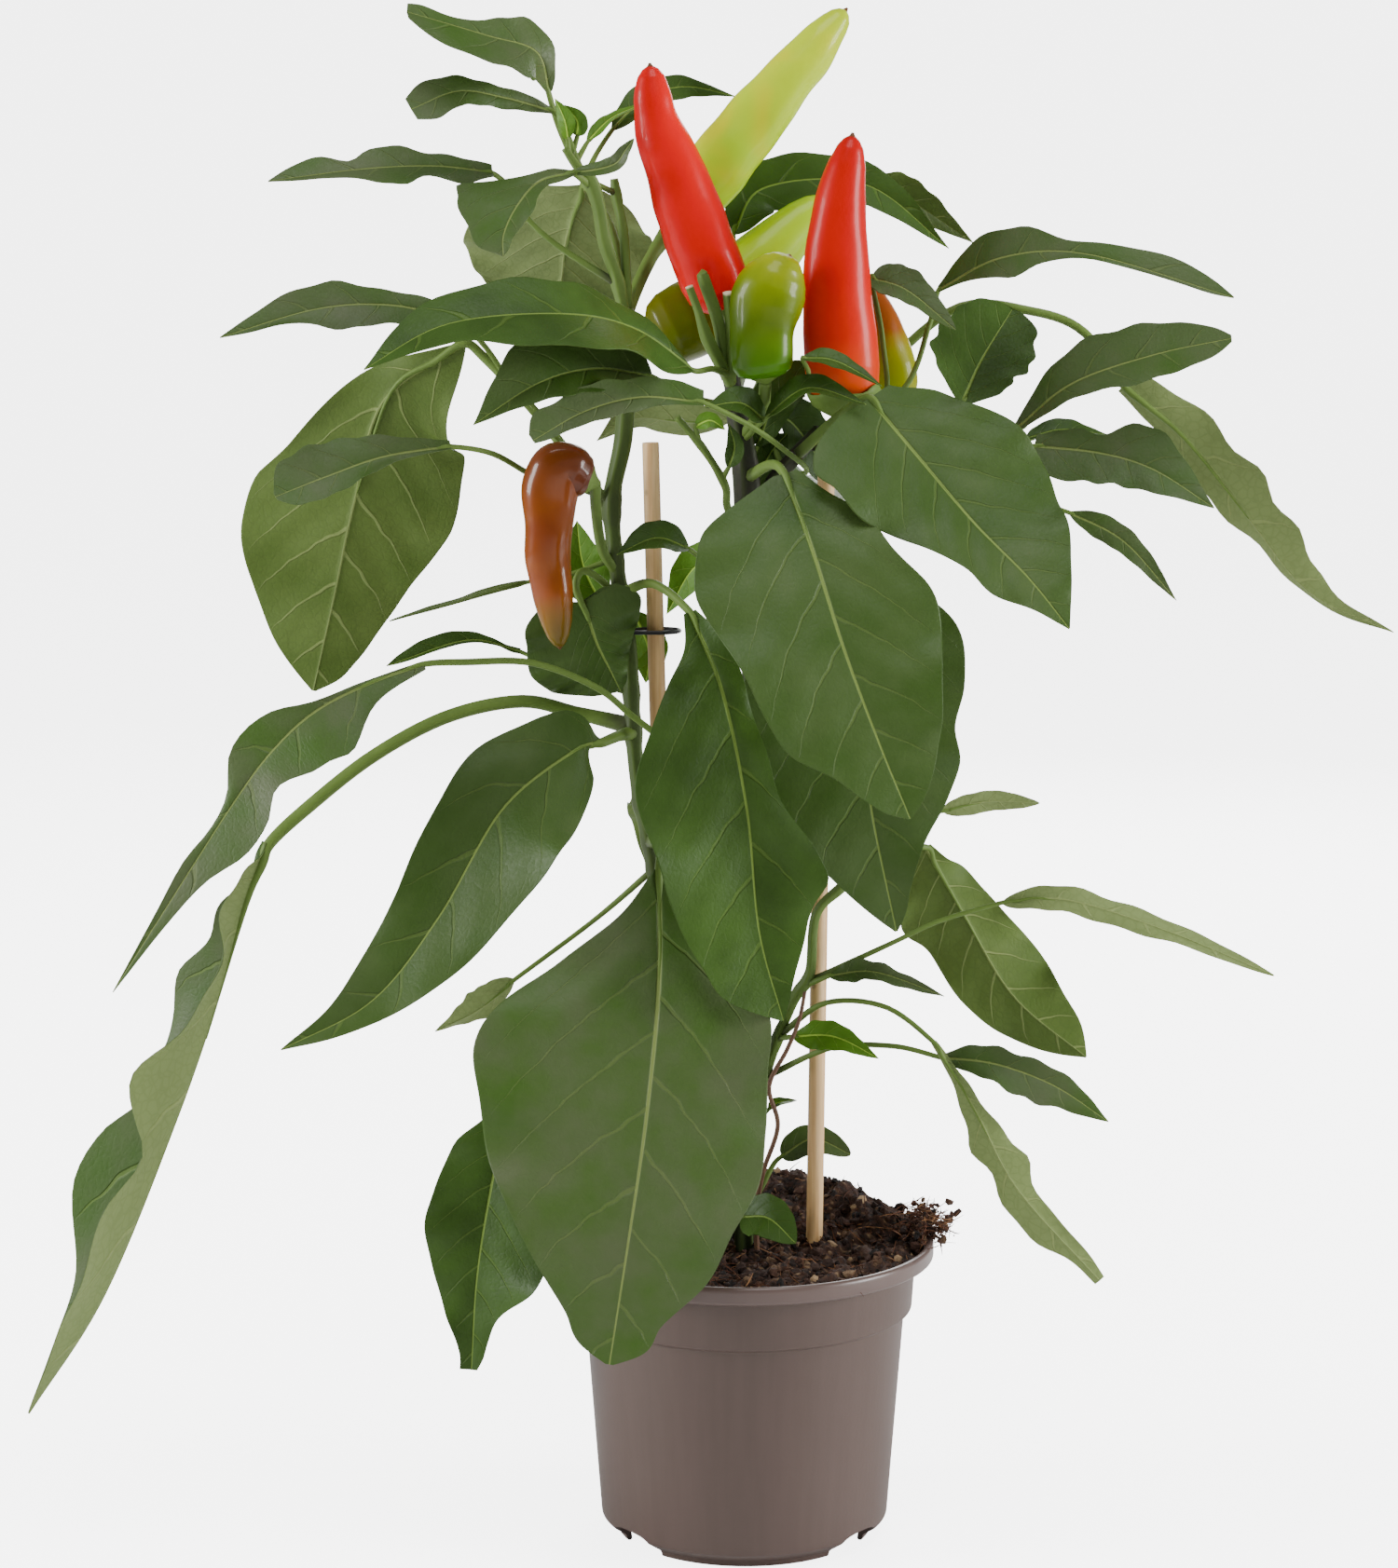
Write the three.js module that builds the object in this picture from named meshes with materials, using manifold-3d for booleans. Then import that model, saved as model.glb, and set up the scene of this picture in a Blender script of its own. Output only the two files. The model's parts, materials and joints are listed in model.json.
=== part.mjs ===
// A potted chilli pepper plant: a nursery pot of peat with two leafy stems, a low side shoot, a dried
// strand, two bamboo stakes with a wire tie, and seven pods in different stages of ripeness.
// Millimetres, +Z up. The origin is on the pot's axis, on the plane that the pot stands on.
// The plant is seen from -Y. Points are [x, y, z], and a stem's points end with its radius.

import * as THREE from 'three';
import { mergeVertices } from 'three/addons/utils/BufferGeometryUtils.js';
import Module from 'manifold-3d';

const wasm = await Module();
wasm.setup();

// Driving dimensions

const POT_HEIGHT = 103;
const LIP_RADIUS = 65;
const BODY_TOP_RADIUS = 55;
const BODY_FOOT_RADIUS = 49.5;
const POT_WALL = 1.4;
const FLOOR_TOP = 9.5;
const BOSS_RADIUS = 12;
const SOIL_LEVEL = 98;
const GAP = 0.35;

const BLADE_THICKNESS = 0.8;
const STAKE_RADIUS = 3;
const STAKE_TOP = 375;
const STAKE_FOOT = 28;
const ROOT_DEPTH = 26;
const TIE_HEIGHT = 312;
const TIE_WIRE = 1.3;
const TIE_SLACK = 2;

// Colours

const LEAF_GREEN = 0x3f5a33;
const PEAT_BROWN = 0x2c1c14;
const POT_TAUPE = 0x7d6d6a;
const BAMBOO = 0xd9b487;
const WIRE_BLACK = 0x17191b;
const DRY_BROWN = 0x7d5a3c;

// Stems

const STEMS_LEFT = {
  main: [[-13, -3, 104, 2.8], [-19, -3, 145, 2.8], [-26, -3, 197, 2.7], [-31, -2, 234, 2.6], [-35.8, -1, 258, 2.6],
    [-38, 2, 280, 2.6], [-39, 4, 305, 2.5], [-42, 4, 324, 2.5], [-45, 6, 354, 2.5], [-41, 8, 377, 2.4],
    [-40, 8, 399, 2.2], [-40, 8, 420, 2.1]],
  top: [[-40, 8, 415, 1.8], [-47, 8, 442, 1.7], [-55, 5, 461, 1.5], [-59, 3, 474, 1.1]],
  second: [[-40, 9, 415, 1.6], [-42, 12, 444, 1.5], [-44, 14, 463, 1.2]],
};
const STEMS_CENTRE = {
  main: [[0, 0, 105, 3.2], [2, 0, 177, 3.2], [3, 2, 242, 3.1], [2, 2, 305, 3], [1, 2, 349, 3],
    [0, 2, 368, 2.9], [-2, 2, 380, 2.8], [-4, 2, 393, 2.6], [-7, 2, 408, 2]],
  fork: [[1, 2, 349, 2.6], [9, 4, 362, 2.2], [17, 8, 371, 2.1], [25, 14, 379, 1.9]],
  stub_left: [[-5, 0, 395, 1.7], [-12, -5, 409, 1.6], [-19, -9, 428, 1.4]],
  stub_middle: [[-6, 1, 397, 2], [-9, -3, 415, 1.9], [-14, -6, 432, 1.9]],
  stub_right: [[-5, 0, 396, 1.8], [-5, -4, 412, 1.8], [-6, -7, 426, 1.8]],
  budding: [[1, 1, 340, 1], [-6, -4, 354, 1], [-7, -6, 362, 0.9], [-14, -8, 374, 0.9], [-23, -12, 385, 0.9]],
};
const STEMS_BASAL = {
  main: [[9, 10, 108, 1.8], [10, 6, 150, 1.7], [13, 2, 174, 1.7], [19, -2, 190, 1.7], [22, -3, 196, 1.7],
    [24, -3, 216, 1.6], [33, -3, 226, 1.5]],
};
const STEM_DRY = [[7, -4, 108, 1], [9, -9, 130, 0.9], [11, -13, 153, 0.8], [20, -16, 180, 0.8], [23, -15, 191, 0.7]];

// Leaves. on and z say where the stalk leaves its stem, stalk holds the points between the stem and the blade,
// rib runs from the blade's base to its tip, half holds the half widths left and right of the rib as seen from
// the base with the upper face up, and face is the way that the upper face looks. fold lifts the two halves by
// degrees, widest is where along the rib each half is widest, and wave is the height of the edge's waves.

const LEAVES_LEFT = [
  { on: 'top', z: 467, stalk: [[-62, 2, 480]], half: [8, 7], face: [0.3, -0.8, 0.7],
    rib: [[-65, 0, 491], [-69, -6, 504], [-85, -14, 509], [-110, -26, 516]] },
  { on: 'top', z: 466, stalk: [[-60, 2, 479]], half: [7, 7], face: [0, -0.5, 1],
    rib: [[-64, 0, 485], [-79, -8, 488], [-93, -16, 491], [-107, -24, 479]] },
  { on: 'top', z: 471, stalk: [], half: [3.5, 3.5], face: [0.5, -1, 0.2], wave: 0.6,
    rib: [[-59, 1, 476], [-60, -3, 482], [-63, -5, 489]] },
  { on: 'top', z: 470, stalk: [], half: [4, 4], face: [-0.3, -1, 0.2], wave: 0.6,
    rib: [[-56, 3, 477], [-56, 0, 482], [-60, -2, 487]] },
  { on: 'top', z: 468, stalk: [], half: [3, 3], face: [0, -0.3, 1], wave: 0.8,
    rib: [[-53, 9, 475], [-45, 19, 483], [-34, 28, 488]] },
  { on: 'top', z: 464, stalk: [[-50, 12, 471]], half: [5, 5], face: [0, -0.4, 1],
    rib: [[-45, 20, 479], [-34, 34, 490], [-20, 46, 494], [-3, 58, 491]] },
  { on: 'top', z: 428, stalk: [[-63, 8, 441], [-73, 10, 450], [-79, 8, 460]], half: [11, 7], face: [0, -0.7, 0.8],
    rib: [[-84, 4, 465], [-103, -2, 467], [-126, -10, 466], [-156, -22, 462]] },
  { on: 'top', z: 456, stalk: [], half: [12, 8], face: [-0.3, -0.9, 0.4],
    rib: [[-56, -4, 463], [-72, -16, 464], [-83, -26, 454], [-79, -34, 438]] },
  { on: 'second', z: 458, stalk: [], half: [4, 4], face: [0, -0.9, 0.5],
    rib: [[-50, 4, 464], [-45, -2, 467], [-37, -8, 476]] },
  { on: 'main', z: 418, stalk: [[-45, 24, 445]], half: [40, 30], face: [0.1, 0.8, 0.6], widest: [0.45, 0.35],
    rib: [[-54, 34, 461], [-61, 50, 443], [-68, 70, 422], [-75, 86, 404]] },
  { on: 'main', z: 354, stalk: [[-59, -2, 373], [-74, -8, 390], [-86, -12, 408]], half: [11, 10], face: [0, -0.5, 1],
    fold: [8, 8], rib: [[-95, -14, 417], [-116, -20, 422], [-140, -28, 421], [-171, -36, 412]] },
  { on: 'main', z: 352, stalk: [[-69, 14, 383], [-88, 20, 403]], half: [39, 31], face: [0.1, 1, 0],
    fold: [6, 6], widest: [0.52, 0.52],
    rib: [[-95, 20, 408], [-114, 28, 388], [-129, 34, 353], [-141, 30, 321], [-148, 22, 289]] },
  { on: 'main', z: 356, stalk: [[-62, 0, 363], [-71, -2, 365], [-84, -12, 373]], half: [10, 9], face: [0, -0.8, 0.7],
    rib: [[-97, -20, 376], [-119, -28, 373], [-137, -34, 367], [-153, -42, 361]] },
  { on: 'main', z: 318, stalk: [[-46, 2, 327], [-54, -1, 334]], half: [20, 22], face: [0, -1, 0.3], fold: [8, 0],
    widest: [0.38, 0.38], blunt: 0.9, rib: [[-58, -3, 332], [-54, -4, 320], [-47, -5, 306], [-42, -7, 293]] },
  { on: 'main', z: 280, stalk: [[-57, 6, 284], [-76, 6, 288], [-101, 4, 283], [-126, 0, 270], [-148, -4, 253]],
    half: [24, 25], face: [-0.94, -0.1, 0.35], fold: [40, 58], widest: [0.52, 0.52], wave: 3, stalkRadius: 2.3,
    rib: [[-161, -8, 242], [-169, -10, 223], [-178, -12, 191], [-193, -14, 148], [-219, -14, 86], [-247, -10, 42]] },
  { on: 'main', z: 278, stalk: [[-47, -14, 277]], half: [24, 19], face: [-0.2, -1, 0.5],
    rib: [[-57, -18, 275], [-81, -26, 256], [-102, -34, 221], [-124, -40, 194], [-154, -48, 179]] },
  { on: 'main', z: 325, stalk: [[-31, -14, 330]], half: [26, 34], face: [0.1, -1, 0.2], widest: [0.62, 0.4],
    rib: [[-19, -24, 322], [-8, -34, 296], [0, -42, 258], [4, -48, 219], [12, -54, 190]] },
  { on: 'main', z: 241, stalk: [[-28, -20, 245]], half: [41, 57], face: [0, -1, 0.25], fold: [6, 6],
    widest: [0.5, 0.47], blunt: 0.9, wave: 3,
    rib: [[-29, -30, 237], [-29, -46, 200], [-33, -60, 159], [-39, -72, 119], [-45, -80, 81]] },
  { on: 'main', z: 210, stalk: [[-44, -6, 185]], half: [24, 19], face: [-0.2, -1, 0.2], widest: [0.5, 0.42],
    rib: [[-80, -10, 153], [-86, -16, 126], [-91, -22, 95], [-93, -26, 63]] },
  { on: 'main', z: 232, stalk: [[-51, 6, 213]], half: [7, 6], face: [0, 0.7, 0.5],
    rib: [[-79, 6, 192], [-91, 4, 182], [-106, 0, 175]] },
  { on: 'main', z: 337, stalk: [[-60, 6, 331]], half: [4, 4], face: [0, 0.3, 1], wave: 1,
    rib: [[-73, 6, 329], [-97, 4, 322], [-120, 0, 316]] },
  { on: 'main', z: 291, stalk: [[-57, 4, 297]], half: [6, 6], face: [0, -0.3, 1], wave: 1.5,
    rib: [[-76, 6, 305], [-94, 4, 309], [-121, -2, 301]] },
  { on: 'main', z: 317, stalk: [], half: [9, 9], face: [-0.2, -1, 0.2], wave: 1,
    rib: [[-49, 9, 321], [-55, 11, 334], [-57, 11, 349]] },
  { on: 'main', z: 322, stalk: [], half: [7, 7], face: [0, -1, 0.4], wave: 1,
    rib: [[-38, 14, 318], [-33, 20, 304], [-34, 23, 292]] },
  { on: 'main', z: 113, stalk: [[-6, -8, 116]], half: [6, 7], face: [0, -0.8, 0.6], wave: 0.8,
    rib: [[-1, -12, 113], [8, -18, 114], [17, -24, 107]] },
  { on: 'main', z: 254, stalk: [[-30, 28, 258]], half: [22, 22], face: [-0.1, -0.3, 1],
    rib: [[-27, 44, 251], [-21, 70, 237], [-17, 96, 212], [-16, 112, 181]] },
  { on: 'main', z: 393, stalk: [[-46, 34, 398]], half: [18, 18], face: [0, -0.3, 1],
    rib: [[-49, 44, 400], [-58, 70, 406], [-66, 98, 403], [-70, 120, 394]] },
];

const LEAVES_CENTRE = [
  { on: 'main', z: 262, stalk: [[-20, -7, 272], [-37, -8, 284], [-50, -12, 295], [-71, -18, 304], [-93, -24, 305]],
    half: [15, 11], face: [-0.2, -0.7, 0.7], widest: [0.37, 0.37],
    rib: [[-106, -28, 304], [-130, -34, 290], [-149, -40, 272], [-173, -46, 244], [-208, -54, 199]] },
  { on: 'main', z: 398, stalk: [[-11, -12, 401]], half: [20, 15], face: [-0.1, -0.7, 0.9], fold: [5, 12],
    widest: [0.4, 0.55], rib: [[-17, -20, 401], [-37, -30, 415], [-61, -44, 420], [-96, -56, 417], [-122, -66, 403]] },
  { on: 'main', z: 387, stalk: [[-19, -16, 392]], half: [10, 20], face: [0, -0.8, 0.8],
    rib: [[-31, -22, 399], [-49, -34, 402], [-67, -46, 398], [-88, -56, 385]] },
  { on: 'fork', z: 364, stalk: [[20, -8, 367], [12, -20, 375], [1, -26, 383]], half: [6, 9], face: [0.1, -0.8, 0.6],
    rib: [[-14, -32, 391], [-34, -38, 393], [-52, -46, 389], [-69, -56, 380]] },
  { on: 'main', z: 364, stalk: [[8, -20, 370]], half: [35, 43], face: [0.1, -1, 0.3], fold: [6, 6],
    widest: [0.42, 0.38], rib: [[12, -30, 368], [21, -46, 344], [31, -60, 313], [42, -68, 284], [52, -72, 260]] },
  { on: 'main', z: 356, stalk: [[25, -8, 347]], half: [31, 34], face: [0, -1, 0.2], fold: [6, 6],
    widest: [0.52, 0.52], rib: [[32, -12, 338], [37, -20, 302], [41, -26, 259], [50, -30, 218]] },
  { on: 'main', z: 324, stalk: [[-8, 0, 332]], half: [6, 7], face: [0, -0.7, 0.7], wave: 1,
    rib: [[-19, -6, 341], [-30, -12, 345], [-43, -18, 340]] },
  { on: 'main', z: 336, stalk: [[-1, 14, 339]], half: [7, 7], face: [0, -1, 0.4], wave: 1,
    rib: [[-6, 24, 338], [-18, 34, 330], [-27, 38, 314]] },
  { on: 'main', z: 390, stalk: [[0, 34, 401], [-1, 56, 419]], half: [10, 12], face: [0, -0.6, 0.8],
    rib: [[-4, 58, 444], [7, 62, 460], [42, 62, 461], [71, 56, 439]] },
  { on: 'main', z: 384, stalk: [[6, 36, 398], [10, 62, 425], [22, 68, 448]], half: [9, 8], face: [0, 0.6, 0.7],
    rib: [[41, 69, 463], [59, 71, 455], [80, 70, 441]] },
  { on: 'main', z: 378, stalk: [], half: [5, 6], face: [0, -0.8, 0.5], wave: 1,
    rib: [[6, -12, 384], [-2, -18, 390], [-14, -24, 389]] },
  { on: 'main', z: 376, stalk: [], half: [6, 5], face: [0, -0.6, 0.8], wave: 1,
    rib: [[6, -14, 385], [20, -20, 395], [39, -26, 390]] },
  { on: 'main', z: 386, stalk: [[10, -8, 390], [20, -13, 398]], half: [4, 4], face: [0, -0.6, 0.8], wave: 1,
    rib: [[18, -21, 405], [29, -23, 404], [44, -28, 396]] },
  { on: 'main', z: 374, stalk: [], half: [7, 7], face: [0, 0.8, 0.6], wave: 1,
    rib: [[-5, 26, 382], [-21, 32, 381], [-38, 36, 382], [-51, 38, 374]] },
  { on: 'fork', z: 378, stalk: [[46, 16, 386], [46, 17, 410]], half: [6, 6], face: [0, -0.5, 0.9], wave: 1,
    rib: [[43, 18, 429], [54, 12, 426], [70, 6, 413]] },
  { on: 'fork', z: 371, stalk: [[30, -12, 385]], half: [27, 31], face: [0.3, -1, 0.5], fold: [4, 4],
    widest: [0.4, 0.32], rib: [[40, -18, 392], [56, -26, 373], [74, -36, 352], [91, -46, 335], [104, -52, 319]] },
  { on: 'fork', z: 378, stalk: [[51, 24, 380]], half: [20, 18], face: [0, -1, 0.5], widest: [0.5, 0.5],
    rib: [[74, 28, 388], [81, 36, 402], [92, 44, 419]] },
  { on: 'fork', z: 378, stalk: [[52, 12, 392], [62, 18, 415]], half: [9, 11], face: [0, -0.5, 1], widest: [0.25, 0.25],
    rib: [[65, 22, 426], [86, 12, 437], [114, 2, 438], [161, -10, 424]] },
  { on: 'fork', z: 377, stalk: [[63, 22, 373]], half: [13, 13], face: [0, -0.8, 0.7],
    rib: [[91, 18, 379], [109, 8, 395], [135, -2, 405], [160, -12, 411]] },
  { on: 'fork', z: 376, stalk: [[69, 16, 367]], half: [13, 11], face: [0, -0.8, 0.7], widest: [0.45, 0.45],
    rib: [[97, 12, 374], [119, 4, 372], [136, -4, 367], [155, -14, 355]] },
  { on: 'fork', z: 378, stalk: [[36, 32, 378], [46, 47, 396], [73, 50, 419], [99, 50, 418], [117, 50, 411]],
    half: [7, 13], face: [0.3, 0.9, 0.4], rib: [[131, 50, 393], [156, 48, 371], [176, 42, 345], [195, 34, 322],
      [223, 26, 309]] },
  { on: 'fork', z: 374, stalk: [[80, 30, 360]], half: [4, 4], face: [0.2, 0.3, 1], wave: 1,
    rib: [[111, 32, 350], [130, 30, 340], [148, 26, 320]] },
  { on: 'fork', z: 377, stalk: [[64, 32, 371]], half: [5, 5], face: [0, -0.5, 0.8], wave: 1,
    rib: [[96, 34, 375], [109, 36, 378], [125, 38, 376]] },
  { on: 'main', z: 244, stalk: [[42, 26, 244]], half: [5, 5], face: [0, 0.4, 1], wave: 1,
    rib: [[69, 34, 246], [85, 36, 249], [103, 38, 248]] },
  { on: 'main', z: 305, stalk: [[10, 28, 306]], half: [24, 24], face: [0.1, -0.3, 1],
    rib: [[17, 44, 300], [27, 72, 284], [35, 100, 259], [41, 118, 229]] },
  { on: 'main', z: 361, stalk: [[9, 30, 360]], half: [20, 20], face: [0.1, -0.3, 1],
    rib: [[16, 44, 359], [34, 74, 363], [52, 104, 357], [66, 124, 342]] },
];

const LEAVES_BASAL = [
  { on: 'main', z: 225, stalk: [[48, 8, 234]], half: [23, 17], face: [-0.2, 1, 0.2], widest: [0.35, 0.5],
    rib: [[62, 18, 236], [76, 26, 211], [94, 30, 181], [120, 30, 159]] },
  { on: 'main', z: 192, stalk: [[50, -10, 208], [65, -14, 216]], half: [5, 5], face: [0, -0.5, 1], wave: 1.5,
    rib: [[86, -18, 223], [107, -24, 225], [139, -30, 216], [175, -38, 202]] },
  { on: 'main', z: 191, stalk: [], half: [4, 4], face: [0, -0.5, 1], wave: 1,
    rib: [[28, -8, 196], [44, -12, 198], [67, -18, 191]] },
  { on: 'main', z: 173, stalk: [[27, -10, 187], [47, -16, 187]], half: [6, 6], face: [-0.5, -0.7, 0.5],
    widest: [0.45, 0.45], rib: [[63, -20, 176], [77, -26, 154], [91, -32, 128], [119, -36, 97]] },
  { on: 'main', z: 158, stalk: [[29, -8, 171], [50, -14, 173]], half: [7, 7], face: [0, -0.6, 0.9], wave: 1,
    rib: [[66, -18, 170], [84, -24, 169], [103, -30, 163], [121, -36, 152]] },
  { on: 'main', z: 172, stalk: [], half: [5, 6], face: [0, -0.8, 0.5], wave: 1,
    rib: [[16, -8, 175], [30, -13, 176], [45, -20, 170]] },
  { on: 'main', z: 142, stalk: [], half: [2.5, 2.5], face: [0, -0.4, 1], wave: 0.4,
    rib: [[8, 4, 147], [12, 5, 149], [18, 8, 149]] },
  { on: 'main', z: 114, stalk: [[10, 16, 124]], half: [4, 5], face: [0, -0.7, 0.6], wave: 0.8,
    rib: [[13, 17, 127], [24, 17, 133], [37, 15, 128]] },
];

// Pods. Each path runs from the blunt end, which its calyx holds, to the tip.
// stalk runs from the stem that the pod hangs on or stands on to the calyx.

const PODS = [
  { name: 'pod_red_left', colour: 0xdf1f18, radius: 12.2, stem: 'centre', on: 'main', z: 406, stalk: [[-6, 8, 412]],
    path: [[-7, 12, 420], [-15, 12, 441], [-23, 12, 464], [-30, 12, 483], [-32, 12, 500]] },
  { name: 'pod_lime_back', colour: 0xc3d626, radius: 11.6, stem: 'left', on: 'main', z: 417,
    stalk: [[-36, 22, 428], [-31, 33, 438]],
    path: [[-23, 38, 449], [-9, 40, 467], [6, 42, 486], [23, 44, 506], [34, 46, 520]] },
  { name: 'pod_olive_back', colour: 0x8f9a1e, radius: 12.2, stem: 'left', on: 'main', z: 412,
    stalk: [[-41, 24, 407]],
    path: [[-32, 36, 411], [-13, 40, 422], [7, 44, 439], [27, 48, 456]] },
  { name: 'pod_red_right', colour: 0xe02a14, radius: 12.6, stem: 'centre', on: 'fork', z: 376, stalk: [[31, 8, 379]],
    path: [[33, 4, 387], [32, 4, 405], [30, 4, 430], [31, 4, 454], [35, 4, 477]] },
  { name: 'pod_green_stubby', colour: 0x86a31a, radius: 9.5, stem: 'centre', on: 'main', z: 377,
    stalk: [[5, -9, 387]],
    path: [[6, -14, 398], [5, -14, 406], [5, -14, 417], [10, -14, 429], [15, -14, 438]] },
  { name: 'pod_orange_back', colour: 0xb86a2a, radius: 10.5, stem: 'centre', on: 'fork', z: 378, stalk: [[40, 26, 377]],
    path: [[49, 32, 387], [48, 32, 399], [44, 32, 415], [40, 32, 429]] },
  { name: 'pod_brown', colour: 0x96481c, radius: 9.2, stem: 'left', on: 'main', z: 354, stalk: [[-44, -7, 361]],
    path: [[-52, -12, 364], [-62, -15, 368], [-66, -16, 354], [-65, -16, 332], [-62, -16, 309]] },
];
// How thick a pod is along its path, as a share of its radius.
const POD_PROFILE = [[0, 0.3], [0.03, 0.62], [0.1, 0.9], [0.25, 1], [0.45, 0.98], [0.7, 0.78], [0.85, 0.56],
  [0.94, 0.36], [1, 0.12]];

// Solids from rings of points

const vector = ([x, y, z]) => new THREE.Vector3(x, y, z);
const curve = (points) => new THREE.CatmullRomCurve3(points.map(vector), false, 'catmullrom', 0.5);

// A closed skin over rings of equally many points, closed at each end by a fan to a point.
// turned(j) says which way the quad after point j is split.
function skin(rings, start, end, turned = () => false) {
  const count = rings[0].length;
  const points = [start, ...rings.flat(), end];
  const last = points.length - 1;
  const at = (i, j) => 1 + i * count + (j % count);
  const index = [];
  for (let j = 0; j < count; j++) {
    index.push(0, at(0, j + 1), at(0, j));
    index.push(last, at(rings.length - 1, j), at(rings.length - 1, j + 1));
    for (let i = 0; i + 1 < rings.length; i++) {
      const [a, b, c, d] = [at(i, j), at(i, j + 1), at(i + 1, j + 1), at(i + 1, j)];
      if (turned(j)) index.push(a, b, d, b, c, d);
      else index.push(a, b, c, a, c, d);
    }
  }
  const geometry = new THREE.BufferGeometry();
  geometry.setAttribute('position', new THREE.Float32BufferAttribute(points.flatMap((p) => [p.x, p.y, p.z]), 3));
  geometry.setIndex(index);
  return geometry;
}

// A closed geometry as a solid, turned right side out if its faces point inwards.
function solid(geometry) {
  const bare = new THREE.BufferGeometry().setAttribute('position', geometry.getAttribute('position').clone());
  if (geometry.index) bare.setIndex(geometry.index.clone());
  const merged = mergeVertices(bare, 1e-4);
  const make = (triVerts) => new wasm.Manifold(
    new wasm.Mesh({ numProp: 3, vertProperties: merged.attributes.position.array, triVerts }));
  const faces = new Uint32Array(merged.index.array);
  const made = make(faces);
  return made.volume() < 0 ? make(faces.map((_, i) => merged.index.array[i - (i % 3) + 2 - (i % 3)])) : made;
}

// The triangles of a solid's outer skins: what is closed in between two grown-together parts is filled.
function filled({ vertProperties: p, triVerts }) {
  const parent = Array.from({ length: p.length / 3 }, (_, i) => i);
  const root = (i) => {
    while (parent[i] !== i) i = parent[i];
    return i;
  };
  const faces = Array.from({ length: triVerts.length / 3 }, (_, i) => [...triVerts.slice(3 * i, 3 * i + 3)]);
  for (const [a, b, c] of faces) {
    parent[root(b)] = root(a);
    parent[root(c)] = root(a);
  }
  const corner = (i) => new THREE.Vector3(p[3 * i], p[3 * i + 1], p[3 * i + 2]);
  const volume = new Map();
  for (const [a, b, c] of faces) {
    const part = corner(a).dot(corner(b).cross(corner(c)));
    volume.set(root(a), (volume.get(root(a)) ?? 0) + part);
  }
  return faces.filter(([a]) => volume.get(root(a)) > 0).flat();
}

function mesh(name, made, colour, roughness = 0.6) {
  const raw = made.getMesh();
  const geometry = new THREE.BufferGeometry();
  geometry.setAttribute('position', new THREE.Float32BufferAttribute(raw.vertProperties, 3));
  geometry.setIndex(filled(raw));
  geometry.computeVertexNormals();
  const piece = new THREE.Mesh(geometry, new THREE.MeshStandardMaterial({ color: colour, roughness, metalness: 0 }));
  piece.name = name;
  return piece;
}

const sum = (solids) => solids.reduce((all, one) => all.add(one));

// A round tube of varying radius along points of [x, y, z, radius].
function tube(points, sides, steps) {
  const line = curve(points);
  const radii = points.map((p) => p[3]);
  const rings = [];
  let side = new THREE.Vector3(1, 0, 0);
  for (let i = 0; i <= steps; i++) {
    const t = i / steps;
    const along = line.getTangent(t);
    side = side.clone().addScaledVector(along, -side.dot(along)).normalize();
    const other = along.clone().cross(side);
    const place = t * (radii.length - 1);
    const low = Math.min(Math.floor(place), radii.length - 2);
    const radius = radii[low] + (radii[low + 1] - radii[low]) * (place - low);
    const centre = line.getPoint(t);
    rings.push(Array.from({ length: sides }, (_, j) => centre.clone()
      .addScaledVector(side, radius * Math.cos((2 * Math.PI * j) / sides))
      .addScaledVector(other, radius * Math.sin((2 * Math.PI * j) / sides))));
  }
  return solid(skin(rings, line.getPoint(0), line.getPoint(1)));
}

// The point on a stem at a height.
function stemPoint(stem, z) {
  const k = Math.max(1, stem.findIndex((p) => p[2] >= z));
  const [a, b] = [stem[k - 1], stem[k]];
  const t = (z - a[2]) / (b[2] - a[2]);
  return a.map((value, i) => value + (b[i] - value) * t);
}

// Leaves

// The share of a leaf's half width at t along its rib.
function share(t, widest, blunt) {
  return (t / widest) ** ((blunt * widest) / (1 - widest)) * ((1 - t) / (1 - widest)) ** blunt;
}

// A point of a blade's middle surface, at t along the rib and s across from -1 to 1, and the upper face's normal.
function bladePoint(leaf, line, t, s) {
  const { fold = [15, 15], widest = [0.4, 0.4], blunt = 1.15, wave = 2 } = leaf;
  const half = s < 0 ? 0 : 1;
  const along = line.getTangent(t);
  const up = vector(leaf.face);
  up.addScaledVector(along, -up.dot(along)).normalize();
  const across = along.clone().cross(up);
  const width = leaf.half[half] * share(t, widest[half], blunt);
  const angle = THREE.MathUtils.degToRad(fold[half]);
  const ripple = wave * s * s * Math.sin(8 * Math.PI * t + (s < 0 ? 1.3 : 0)) * Math.min(1, 1.2 * share(t, 0.4, 1.15));
  const point = line.getPoint(t)
    .addScaledVector(across, s * width * Math.cos(angle))
    .addScaledVector(up, Math.abs(s) * width * Math.sin(angle) + ripple);
  return { point, up };
}

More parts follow.
